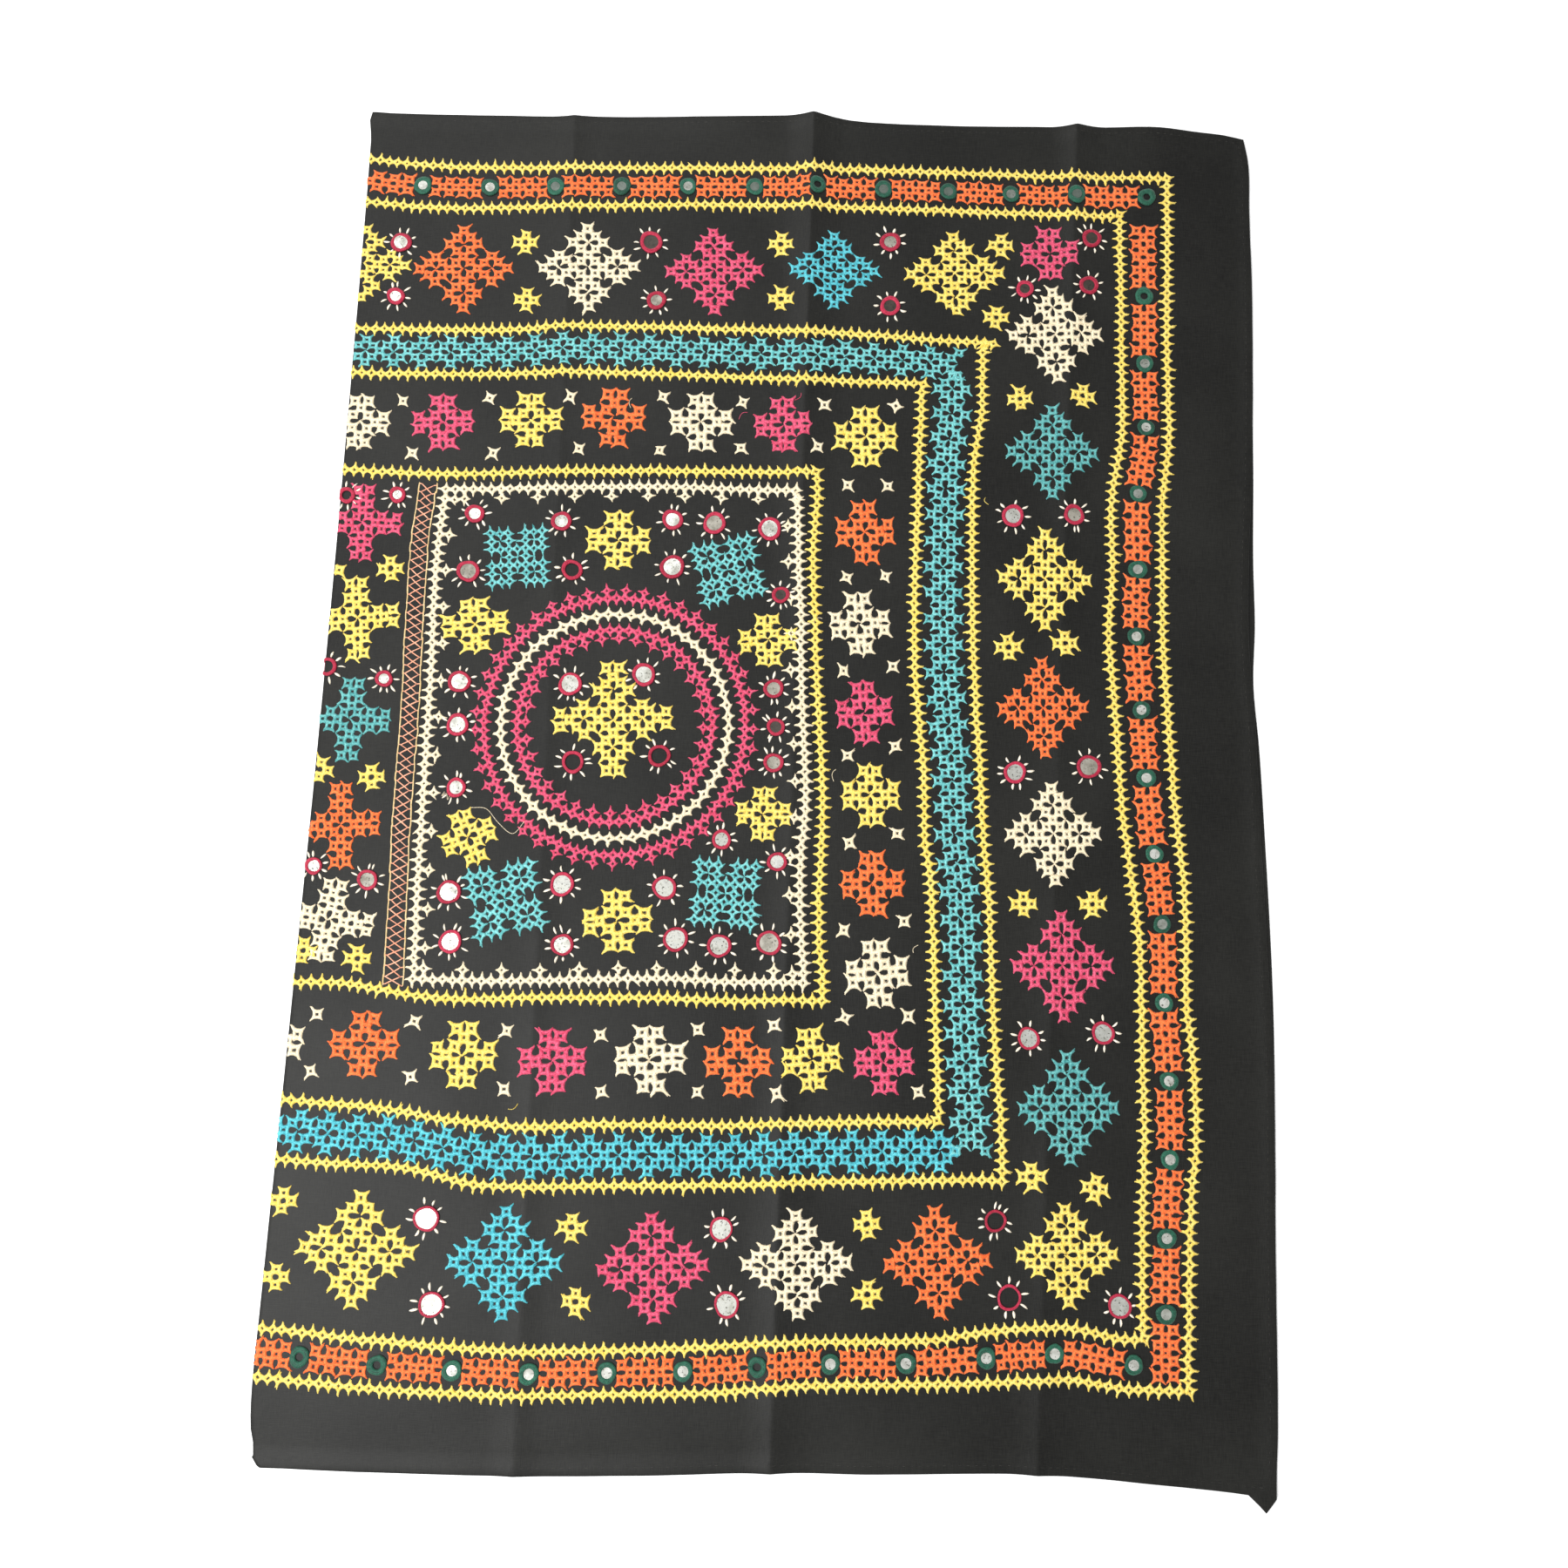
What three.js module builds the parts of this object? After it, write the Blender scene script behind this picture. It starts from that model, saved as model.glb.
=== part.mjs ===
// A black cotton bedspread with sewn-on mirrors, folded once in half and laid flat.
// Millimetres. X runs from the fold at the left to the open edge, Y from the near hem to the far one,
// and Z up. The origin is under the middle of the folded cloth, on the surface that it lies on.
import * as THREE from "three";

const CLOTH_THICK = 1.2;
const LAYERS_APART = 0.9;
const HEM_WIDE = 10;
const HEM_STEP = 1.5;
const HEM_THICK = 0.5;
const FOLD_PUFF = 1.8;
const FOLD_PUFF_WIDE = 34;
const FOLD_ROOM = 6;
const UNDER_LIFT_SHARE = 0.35;
const MIRROR_THICK = 1;
const MIRROR_CLEAR = 0.3;
const MIRROR_SIDES = 12;
const MIRROR_UNEVEN = 0.05;
const LOOK_FROM = 100;

// The folded cloth's outline. The far and near hems are named by their places across, the fold and
// the two open edges by their places along.
const FAR_HEM = [
  { across: -531, along: 774.5 },
  { across: -454, along: 774.5 },
  { across: -284, along: 778 },
  { across: -93, along: 784 },
  { across: -2, along: 789 },
  { across: 78, along: 783.5 },
  { across: 185, along: 782.5 },
  { across: 323, along: 786 },
  { across: 422, along: 787 },
  { across: 504, along: 783 },
  { across: 535, along: 777 },
];
const NEAR_HEM = [
  { across: -529, along: -770 },
  { across: -435, along: -772 },
  { across: -264, along: -772 },
  { across: -128, along: -768 },
  { across: 11, along: -761.5 },
  { across: 108, along: -761 },
  { across: 282, along: -756.5 },
  { across: 433, along: -765 },
  { across: 490, along: -769 },
  { across: 532, along: -771.5 },
];
const FOLD = [
  { along: -770, across: -529 },
  { along: -763, across: -538 },
  { along: -754, across: -534 },
  { along: -740, across: -540 },
  { along: -700, across: -543.5 },
  { along: -620, across: -542.5 },
  { along: -320, across: -537 },
  { along: 60, across: -531.5 },
  { along: 450, across: -529.5 },
  { along: 740, across: -530 },
  { along: 763, across: -533 },
  { along: 774.5, across: -531 },
];
const UPPER_EDGE = [
  { along: -771.5, across: 532 },
  { along: -700, across: 536 },
  { along: -550, across: 538 },
  { along: -340, across: 542 },
  { along: -200, across: 538 },
  { along: 40, across: 531 },
  { along: 150, across: 525.5 },
  { along: 240, across: 528 },
  { along: 360, across: 535.5 },
  { along: 560, across: 540.5 },
  { along: 685, across: 540 },
  { along: 743, across: 540.5 },
  { along: 777, across: 535 },
];
const UNDER_EDGE = [
  { along: -771.5, across: 530 },
  { along: -700, across: 533 },
  { along: -550, across: 536 },
  { along: -360, across: 543 },
  { along: -230, across: 543.5 },
  { along: -50, across: 538.5 },
  { along: 25, across: 535.5 },
  { along: 95, across: 531 },
  { along: 165, across: 534.5 },
  { along: 245, across: 534.5 },
  { along: 360, across: 537.5 },
  { along: 560, across: 539 },
  { along: 743, across: 538 },
  { along: 777, across: 532 },
];

// The short pointed tail of hem that hangs out at the near corner of the open edge.
const TAIL = { across: 520.5, along: -771.5, long: 17.5, halfWide: 13, root: 14 };

// The three creases that the cloth was stored in: a soft ridge each, along a straight line from the
// far hem to the near one, highest at the far end.
const CREASES = [
  { farAcross: -284, nearAcross: -265, farHigh: 3, midHigh: 1.6, nearHigh: 2.2, leftWide: 30, rightWide: 36 },
  { farAcross: 8, nearAcross: 3, farHigh: 9, midHigh: 2.8, nearHigh: 4, leftWide: 36, rightWide: 46 },
  { farAcross: 330, nearAcross: 282, farHigh: 6.5, midHigh: 2.2, nearHigh: 3, leftWide: 32, rightWide: 36 },
];
const CREASE_FAR = 786;
const CREASE_NEAR = -762;

// Low swells where the cloth doesn't lie quite down.
const SWELLS = [
  { across: 425, along: 786, high: 4.5, wide: 55, long: 70 },
  { across: -100, along: 786, high: 2.5, wide: 90, long: 60 },
  { across: 500, along: 48, high: 2.2, wide: 90, long: 34 },
  { across: 515, along: 190, high: 2.6, wide: 45, long: 130 },
  { across: -350, along: -430, high: 2.4, wide: 60, long: 110 },
  { across: 130, along: -300, high: 1.2, wide: 90, long: 260 },
  { across: -150, along: 120, high: 1.2, wide: 90, long: 300 },
  { across: 515, along: -775, high: 3, wide: 34, long: 30 },
  { across: 430, along: -620, high: 1.6, wide: 110, long: 120 },
];

// Columns of the cloth on each side of a crease, and even ones in the panels between them.
const CREASE_COLUMNS = [-1, -0.62, -0.28, 0, 0.28, 0.62, 1];
const PANEL_COLUMNS = 3;
const ROWS_BETWEEN_HEMS = 22;
const FOLD_STEPS = 6;

// Mirrors that still have their glass, band by band from the far hem.
const MIRROR_BANDS = {
  far: [
    { across: -483, along: 605, radius: 8.5 },
    { across: -484, along: 536, radius: 7 },
    { across: -183, along: 616, radius: 10 },
    { across: -174, along: 541, radius: 8 },
    { across: 105, along: 626, radius: 8.5 },
    { across: 106, along: 544, radius: 8.5 },
    { across: 347, along: 639, radius: 8 },
    { across: 344, along: 578, radius: 8 },
    { across: 267, along: 571, radius: 7 },
  ],
  open_side: [
    { across: 253, along: 287, radius: 10 },
    { across: 325, along: 290, radius: 9 },
    { across: 257, along: -15, radius: 10 },
    { across: 340, along: -6, radius: 11 },
    { across: 272, along: -310, radius: 10 },
    { across: 354, along: -302, radius: 10.5 },
  ],
  near: [
    { across: -372, along: -517, radius: 12 },
    { across: -361, along: -605, radius: 12 },
    { across: -57, along: -519, radius: 11 },
    { across: -49, along: -596, radius: 12 },
    { across: 370, along: -586, radius: 11 },
  ],
  fold_side: [
    { across: -464, along: 289, radius: 6.5 },
    { across: -463, along: 70, radius: 7 },
    { across: -464, along: -158, radius: 9 },
    { across: -524, along: -145, radius: 7 },
  ],
  square: [
    { across: -372, along: 269, radius: 8 },
    { across: -271, along: 263, radius: 8.5 },
    { across: -143, along: 269, radius: 9 },
    { across: -94, along: 267, radius: 10 },
    { across: -30, along: 262, radius: 10.5 },
    { across: -376, along: 200, radius: 10 },
    { across: -140, along: 212, radius: 11 },
    { across: -14, along: 183, radius: 7 },
    { across: -251, along: 71, radius: 10.5 },
    { across: -168, along: 84, radius: 10.5 },
    { across: -377, along: 70, radius: 10 },
    { across: -376, along: 20, radius: 10 },
    { across: -372, along: -52, radius: 8.5 },
    { across: -19, along: 73, radius: 8.5 },
    { across: -15, along: 28, radius: 7.5 },
    { across: -17, along: -13, radius: 8.5 },
    { across: -372, along: -169, radius: 11 },
    { across: -247, along: -157, radius: 11 },
    { across: -133, along: -157, radius: 11 },
    { across: -72, along: -102, radius: 8.5 },
    { across: -9, along: -125, radius: 8.5 },
    { across: -367, along: -224, radius: 10.5 },
    { across: -244, along: -223, radius: 10 },
    { across: -119, along: -213, radius: 11.5 },
    { across: -70, along: -219, radius: 11 },
    { across: -15, along: -215, radius: 11.5 },
  ],
};

const clothLook = new THREE.MeshStandardMaterial({ color: 0x33322f, roughness: 0.85, metalness: 0 });
const mirrorLook = new THREE.MeshStandardMaterial({ color: 0xd4d6d8, roughness: 0.08, metalness: 1 });

const mix = (a, b, share) => a + (b - a) * share;

// A smooth curve through a table's rows, as a function that gives the value of one column at a
// place in the other.
function through(rows, place, value) {
  const slope = (i) => {
    const before = rows[Math.max(i - 1, 0)];
    const after = rows[Math.min(i + 1, rows.length - 1)];
    return (after[value] - before[value]) / (after[place] - before[place]);
  };
  return (at) => {
    let i = 0;
    while (i < rows.length - 2 && at > rows[i + 1][place]) i++;
    const span = rows[i + 1][place] - rows[i][place];
    const q = THREE.MathUtils.clamp((at - rows[i][place]) / span, 0, 1);
    const eased = q * q * (3 - 2 * q);
    const leaving = q * (1 - q) * (1 - q) * span * slope(i);
    const arriving = q * q * (1 - q) * span * slope(i + 1);
    return mix(rows[i][value], rows[i + 1][value], eased) + leaving - arriving;
  };
}

const farHemAt = through(FAR_HEM, "across", "along");
const nearHemAt = through(NEAR_HEM, "across", "along");

function sideEdge(rows) {
  const acrossAt = through(rows, "along", "across");
  const near = rows[0].along;
  const far = rows[rows.length - 1].along;
  return (share) => {
    const along = mix(near, far, share);
    return { across: acrossAt(along), along };
  };
}

function endHem(rows, alongAt, left, right) {
  return (share) => {
    const across = mix(rows[0].across, rows[rows.length - 1].across, share);
    const shift = mix(left.across - rows[0].across, right.across - rows[rows.length - 1].across, share);
    return { across: across + shift, along: alongAt(across) };
  };
}

// A layer's plan: a patch stretched between its fold, its open edge and its two hems. Both shares
// run from 0 to 1, over from the fold to the open edge and up from the near hem to the far one.
function layerPlan(openRows) {
  const fold = sideEdge(FOLD);
  const open = sideEdge(openRows);
  const near = endHem(NEAR_HEM, nearHemAt, fold(0), open(0));
  const far = endHem(FAR_HEM, farHemAt, fold(1), open(1));
  const blend = (key, over, up) => {
    const sides = mix(fold(up)[key], open(up)[key], over);
    const ends = mix(near(over)[key], far(over)[key], up);
    const corners = mix(mix(fold(0)[key], open(0)[key], over), mix(fold(1)[key], open(1)[key], over), up);
    return sides + ends - corners;
  };
  return (over, up) => ({ across: blend("across", over, up), along: blend("along", over, up) });
}

// Draws the near corner out into its tail.
function withTail({ across, along }) {
  const sideways = Math.max(0, 1 - Math.abs(across - TAIL.across) / TAIL.halfWide);
  const inward = Math.max(0, 1 - (along - TAIL.along) / TAIL.root);
  return { across, along: along - TAIL.long * sideways * Math.min(1, inward) };
}

const creaseAcross = (crease, along) =>
  mix(crease.nearAcross, crease.farAcross, (along - CREASE_NEAR) / (CREASE_FAR - CREASE_NEAR));

function creaseHigh(crease, along) {
  const far = THREE.MathUtils.clamp(along / CREASE_FAR, 0, 1);
  const near = THREE.MathUtils.clamp(along / CREASE_NEAR, 0, 1);
  const ends = (crease.farHigh - crease.midHigh) * far ** 2 + (crease.nearHigh - crease.midHigh) * near ** 2;
  return crease.midHigh + ends;
}

// Height of the creases' ridges over the flat cloth.
function ridges(across, along) {
  let high = 0;
  for (const crease of CREASES) {
    const off = across - creaseAcross(crease, along);
    const reach = off < 0 ? crease.leftWide : crease.rightWide;
    const left = Math.max(0, 1 - Math.abs(off) / reach);
    high += creaseHigh(crease, along) * left * left;
  }
  return high;
}

// Height of the swells over the flat cloth.
function swells(across, along) {
  let high = 0;
  for (const swell of SWELLS) {
    const away = ((across - swell.across) / swell.wide) ** 2 + ((along - swell.along) / swell.long) ** 2;
    high += swell.high * Math.exp(-2 * away);
  }
  return high;
}

// The puff that a soft fold keeps, dying away from the folded edge.
function puff(across, along) {
  const inward = Math.max(0, 1 - (across - foldAcross(along)) / FOLD_PUFF_WIDE);
  return FOLD_PUFF * inward ** 2;
}

const foldAcross = through(FOLD, "along", "across");
const underTop = (across, along) => CLOTH_THICK + UNDER_LIFT_SHARE * ridges(across, along);
const upperBottom = (across, along) =>
  CLOTH_THICK + LAYERS_APART + ridges(across, along) + swells(across, along) + puff(across, along);

// The places of the cloth's columns, as shares of the way from the fold to the open edge: at each
// crease they keep to its line.
function columnShares() {
  const first = FOLD[FOLD.length - 1].across;
  const wide = UPPER_EDGE[UPPER_EDGE.length - 1].across - first;
  const shareAtFar = (across) => (across - first) / wide;
  const shareAtNear = (across) => (across - FOLD[0].across) / (UPPER_EDGE[0].across - FOLD[0].across);
  const shares = [];
  const even = (from, to, count) => {
    for (let i = 1; i <= count; i++) {
      const share = i / (count + 1);
      shares.push({ near: mix(from.near, to.near, share), far: mix(from.far, to.far, share) });
    }
  };
  let last = { near: FOLD_ROOM / wide, far: FOLD_ROOM / wide };
  shares.push(last);
  for (const crease of CREASES) {
    CREASE_COLUMNS.forEach((place, k) => {
      const off = place * (place < 0 ? crease.leftWide : crease.rightWide);
      const here = { near: shareAtNear(crease.nearAcross + off), far: shareAtFar(crease.farAcross + off) };
      if (k === 0) even(last, here, PANEL_COLUMNS);
      shares.push(here);
      last = here;
    });
  }
  const hemIn = { near: 1 - (HEM_WIDE + HEM_STEP) / wide, far: 1 - (HEM_WIDE + HEM_STEP) / wide };
  even(last, hemIn, PANEL_COLUMNS);
  shares.push(hemIn);
  const hemEdge = 1 - HEM_WIDE / wide;
  shares.push({ near: hemEdge, far: hemEdge }, { near: 1, far: 1 });
  return shares;
}

// The places of the cloth's rows, as shares of the way from the near hem to the far one.
function rowShares() {
  const long = FOLD[FOLD.length - 1].along - FOLD[0].along;
  const hemEdge = HEM_WIDE / long;
  const hemIn = (HEM_WIDE + HEM_STEP) / long;
  const shares = [0, hemEdge];
  for (let i = 0; i <= ROWS_BETWEEN_HEMS; i++) shares.push(mix(hemIn, 1 - hemIn, i / ROWS_BETWEEN_HEMS));
  shares.push(1 - hemEdge, 1);
  return shares;
}

// The cloth as two faces, its right side and its wrong side, row by row. Each row's stations run
// from the upper layer's open edge to the fold, round it and out to the under layer's open edge.
function coverGeometry() {
  const upper = layerPlan(UPPER_EDGE);
  const under = layerPlan(UNDER_EDGE);
  const columns = columnShares();
  const rows = rowShares();
  const rowsOf = rows.map((up, row) => {
    const endHemmed = row < 2 || row > rows.length - 3;
    const hemAt = (column) => (endHemmed || column > columns.length - 3 ? HEM_THICK : 0);
    const stations = [];
    const place = (plan, column) => withTail(plan(mix(columns[column].near, columns[column].far, up), up));
    for (let k = columns.length - 1; k >= 0; k--) {
      const { across, along } = place(upper, k);
      const bottom = upperBottom(across, along);
      const top = bottom + CLOTH_THICK + hemAt(k);
      stations.push({ right: [across, along, top], wrong: [across, along, bottom] });
    }
    const start = place(upper, 0);
    const topHigh = stations[stations.length - 1].right[2];
    const radius = topHigh / 2;
    const edge = foldAcross(start.along) + radius;
    for (let i = 1; i < FOLD_STEPS; i++) {
      const turn = Math.PI * (0.5 + i / FOLD_STEPS);
      const ring = (r) => [edge + r * Math.cos(turn), start.along, radius + r * Math.sin(turn)];
      stations.push({ right: ring(radius), wrong: ring(radius - CLOTH_THICK) });
    }
    for (let k = 0; k < columns.length; k++) {
      const { across, along } = place(under, k);
      const top = underTop(across, along);
      const hem = hemAt(k);
      stations.push({ right: [across, along, top - CLOTH_THICK], wrong: [across, along, top + hem] });
    }
    return stations;
  });
  return sheetGeometry(rowsOf);
}

// A closed sheet from rows of stations, each with a point on the right side and one on the wrong.
function sheetGeometry(rowsOf) {
  const rowCount = rowsOf.length;
  const perRow = rowsOf[0].length;
  const positions = [];
  for (const row of rowsOf) for (const station of row) positions.push(...station.right, ...station.wrong);
  const right = (row, k) => 2 * (row * perRow + k);
  const wrong = (row, k) => right(row, k) + 1;
  const faces = [];
  const quad = (a, b, c, d) => faces.push(a, b, c, a, c, d);
  for (let row = 0; row < rowCount - 1; row++) {
    for (let k = 0; k < perRow - 1; k++) {
      quad(right(row, k), right(row + 1, k), right(row + 1, k + 1), right(row, k + 1));
      quad(wrong(row, k), wrong(row, k + 1), wrong(row + 1, k + 1), wrong(row + 1, k));
    }
    quad(right(row, 0), wrong(row, 0), wrong(row + 1, 0), right(row + 1, 0));
    const end = perRow - 1;
    quad(right(row, end), right(row + 1, end), wrong(row + 1, end), wrong(row, end));
  }
  for (let k = 0; k < perRow - 1; k++) {
    quad(right(0, k), right(0, k + 1), wrong(0, k + 1), wrong(0, k));
    const last = rowCount - 1;
    quad(right(last, k), wrong(last, k), wrong(last, k + 1), right(last, k + 1));
  }
  const geometry = new THREE.BufferGeometry();
  geometry.setAttribute("position", new THREE.Float32BufferAttribute(positions, 3));
  geometry.setIndex(faces);
  geometry.computeVertexNormals();
  return geometry;
}

// Height of the cloth's own faces at a place, found by looking straight down on them.
const down = new THREE.Vector3(0, 0, -1);
function heightOf(mesh, across, along) {
  const ray = new THREE.Raycaster(new THREE.Vector3(across, along, LOOK_FROM), down);
  return ray.intersectObject(mesh)[0].point.z;
}

// A hand-cut mirror, tilted with the cloth below it and clear of it all over.
function mirrorMesh(name, spot, cover) {
  const shape = new THREE.Shape();
  for (let i = 0; i < MIRROR_SIDES; i++) {
    const turn = (2 * Math.PI * i) / MIRROR_SIDES;
    const radius = spot.radius * (1 + MIRROR_UNEVEN * Math.sin(3 * turn + spot.across));
    const corner = [radius * Math.cos(turn), radius * Math.sin(turn)];
    if (i === 0) shape.moveTo(...corner);
    else shape.lineTo(...corner);
  }
  shape.closePath();
  const geometry = new THREE.ExtrudeGeometry(shape, { depth: MIRROR_THICK, bevelEnabled: false });
  const surface = (dx, dy) => heightOf(cover, spot.across + dx, spot.along + dy);
  const slopeX = (surface(spot.radius, 0) - surface(-spot.radius, 0)) / (2 * spot.radius);
  const slopeY = (surface(0, spot.radius) - surface(0, -spot.radius)) / (2 * spot.radius);
  let high = surface(0, 0);
  for (let i = 0; i < 2 * MIRROR_SIDES; i++) {
    const turn = (Math.PI * i) / MIRROR_SIDES;
    for (const share of [0.5, 1]) {
      const dx = share * spot.radius * (1 + MIRROR_UNEVEN) * Math.cos(turn);
      const dy = share * spot.radius * (1 + MIRROR_UNEVEN) * Math.sin(turn);
      high = Math.max(high, surface(dx, dy) - slopeX * dx - slopeY * dy);
    }
  }
  const mesh = new THREE.Mesh(geometry, mirrorLook);
  mesh.name = name;
  mesh.position.set(spot.across, spot.along, high + MIRROR_CLEAR);
  const normal = new THREE.Vector3(-slopeX, -slopeY, 1).normalize();
  mesh.quaternion.setFromUnitVectors(new THREE.Vector3(0, 0, 1), normal);
  return mesh;
}

const bedspread = new THREE.Group();
const cover = new THREE.Mesh(coverGeometry(), clothLook);
cover.name = "cover";
bedspread.add(cover);
for (const [band, spots] of Object.entries(MIRROR_BANDS)) {
  spots.forEach((spot, i) => bedspread.add(mirrorMesh(`mirror_${band}_${i + 1}`, spot, cover)));
}

export default bedspread;
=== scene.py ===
"""A black cotton bedspread with interlaced stitches and sewn-on mirrors, folded in half and laid flat.

Places on the cloth are in millimetres in the part's own frame: across runs from the fold to the open
edge, along from the near hem to the far one, and up from the floor. Meshes are written in metres.
Run as a script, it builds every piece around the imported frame.
"""

import math
from collections import namedtuple

import bmesh
import bpy
import numpy as np
from mathutils import Matrix, Vector


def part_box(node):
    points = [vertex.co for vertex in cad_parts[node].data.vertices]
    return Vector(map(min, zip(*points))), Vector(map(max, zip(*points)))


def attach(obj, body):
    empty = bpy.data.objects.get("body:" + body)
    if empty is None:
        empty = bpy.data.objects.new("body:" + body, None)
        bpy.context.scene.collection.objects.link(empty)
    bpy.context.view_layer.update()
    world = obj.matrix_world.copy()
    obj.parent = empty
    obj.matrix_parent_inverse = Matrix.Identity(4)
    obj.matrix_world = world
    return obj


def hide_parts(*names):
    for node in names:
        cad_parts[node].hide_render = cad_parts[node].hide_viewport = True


bl_info = {
    "name": "Embroidered Bedspread",
    "version": (1, 0, 0),
    "blender": (4, 5, 0),
    "location": "View3D > Sidebar > Bedspread",
    "description": "Builds a folded cotton bedspread with interlaced stitches and sewn-on mirrors",
    "category": "Add Mesh",
}

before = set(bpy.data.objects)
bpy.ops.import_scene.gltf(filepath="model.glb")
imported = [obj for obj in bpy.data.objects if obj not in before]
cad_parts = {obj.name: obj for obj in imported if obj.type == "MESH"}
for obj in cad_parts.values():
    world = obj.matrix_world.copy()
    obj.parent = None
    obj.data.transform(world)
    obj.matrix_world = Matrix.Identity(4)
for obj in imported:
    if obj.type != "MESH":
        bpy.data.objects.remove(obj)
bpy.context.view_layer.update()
MM = 0.001

# Cloth sizes, in millimetres
CLOTH_THICK = 1.2
LAYERS_APART = 0.9
HEM_WIDE = 10
HEM_STEP = 1.5
HEM_RISE = 0.5
HEM_ROLL = 0.35
UNDER_FIELD = 0.3
FOLD_PUFF = 1.8
FOLD_PUFF_WIDE = 34
FOLD_ROOM = 6
FOLD_STEPS = 12
CREST_SOFT = 2.0
PUCKER_HIGH = 0.22
MOST_TURN = 2.0
SWELL_FALL = 2

# The folded cloth's outline. Each row is a place along its edge, then the edge's place the other way.
FAR_HEM = [
    (-531, 774.5), (-454, 774.5), (-284, 778), (-93, 784), (-2, 789), (78, 783.5),
    (185, 782.5), (323, 786), (422, 787), (504, 783), (535, 777),
]
NEAR_HEM = [
    (-529, -770), (-435, -772), (-264, -772), (-128, -768), (11, -761.5),
    (108, -761), (282, -756.5), (433, -765), (490, -769), (532, -771.5),
]
FOLD = [
    (-770, -529), (-763, -538), (-754, -534), (-740, -540), (-700, -543.5), (-620, -542.5),
    (-320, -537), (60, -531.5), (450, -529.5), (740, -530), (763, -533), (774.5, -531),
]
UPPER_EDGE = [
    (-771.5, 532), (-700, 536), (-550, 538), (-340, 542), (-200, 538), (40, 531), (150, 525.5),
    (240, 528), (360, 535.5), (560, 540.5), (685, 540), (743, 540.5), (777, 535),
]
UNDER_EDGE = [
    (-771.5, 530), (-700, 533), (-550, 536), (-360, 543), (-230, 543.5), (-50, 538.5), (25, 535.5),
    (95, 531), (165, 534.5), (245, 534.5), (360, 537.5), (560, 539), (743, 538), (777, 532),
]

# The pointed tail of hem at the near corner of the open edge
Tail = namedtuple("Tail", "across along long half_wide root")
TAIL = Tail(520.5, -771.5, 17.5, 13, 14)

# The three stored-in creases, each a soft ridge along a straight line from the far hem to the near
Crease = namedtuple("Crease", "far_across near_across far_high mid_high near_high left_wide right_wide")
CREASES = [
    Crease(-284, -265, 3, 1.6, 2.2, 30, 36),
    Crease(8, 3, 9, 2.8, 4, 36, 46),
    Crease(330, 282, 6.5, 2.2, 3, 32, 36),
]
CREASE_FAR = 786
CREASE_NEAR = -762

Swell = namedtuple("Swell", "across along high wide long")
SWELLS = [
    Swell(425, 786, 4.5, 55, 70),
    Swell(-100, 786, 2.5, 90, 60),
    Swell(500, 48, 2.2, 90, 34),
    Swell(515, 190, 2.6, 45, 130),
    Swell(-350, -430, 2.4, 60, 110),
    Swell(130, -300, 1.2, 90, 260),
    Swell(-150, 120, 1.2, 90, 300),
    Swell(515, -775, 3, 34, 30),
    Swell(430, -620, 1.6, 110, 120),
]

# Shallow waves where the stitches draw the cloth up: one row for each run of waves
Wave = namedtuple("Wave", "across along start")
WAVES = [
    Wave(0.061, 0.022, 0.4),
    Wave(-0.034, 0.071, 1.9),
    Wave(0.107, 0.049, 3.1),
    Wave(0.019, -0.118, 0.7),
]


# Curves and heights of the cloth


def through(rows):
    """A smooth curve through rows of place and value, as a function of an array of places."""
    at, value = np.array(sorted(rows), float).T
    slope = np.empty_like(value)
    slope[1:-1] = (value[2:] - value[:-2]) / (at[2:] - at[:-2])
    slope[0] = (value[1] - value[0]) / (at[1] - at[0])
    slope[-1] = (value[-1] - value[-2]) / (at[-1] - at[-2])

    def curve(places):
        places = np.asarray(places, float)
        i = np.searchsorted(at[1:-1], places)
        span = at[i + 1] - at[i]
        q = np.clip((places - at[i]) / span, 0, 1)
        eased = q * q * (3 - 2 * q)
        leaving = q * (1 - q) ** 2 * span * slope[i]
        arriving = q * q * (1 - q) * span * slope[i + 1]
        return value[i] + (value[i + 1] - value[i]) * eased + leaving - arriving

    return curve


def mix(a, b, share):
    """A value a share of the way from a to b."""
    return a + (b - a) * share


far_hem_at = through(FAR_HEM)
near_hem_at = through(NEAR_HEM)
fold_at = through(FOLD)


def side_edge(rows):
    """An edge along the cloth's length, as a function from a share of its way to a place."""
    curve = through(rows)
    near, far = rows[0][0], rows[-1][0]

    def place(share):
        along = mix(near, far, share)
        return np.stack([curve(along), along], -1)

    return place


def end_hem(rows, curve, left, right):
    """A hem between two sides' corners, as a function from a share of its way to a place."""

    def place(share):
        across = mix(rows[0][0], rows[-1][0], share)
        shift = mix(left[0] - rows[0][0], right[0] - rows[-1][0], share)
        return np.stack([across + shift, curve(across)], -1)

    return place


def layer_plan(open_rows, over, up):
    """Places of a layer's grid: a patch stretched between the fold, the open edge and the hems."""
    fold = side_edge(FOLD)
    open_edge = side_edge(open_rows)
    near = end_hem(NEAR_HEM, near_hem_at, fold(0.0), open_edge(0.0))
    far = end_hem(FAR_HEM, far_hem_at, fold(1.0), open_edge(1.0))
    over3 = over[..., None]
    up3 = up[..., None]
    sides = mix(fold(up), open_edge(up), over3)
    ends = mix(near(over), far(over), up3)
    corners = mix(
        mix(fold(0.0), open_edge(0.0), over3),
        mix(fold(1.0), open_edge(1.0), over3),
        up3,
    )
    return with_tail(sides + ends - corners)


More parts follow.
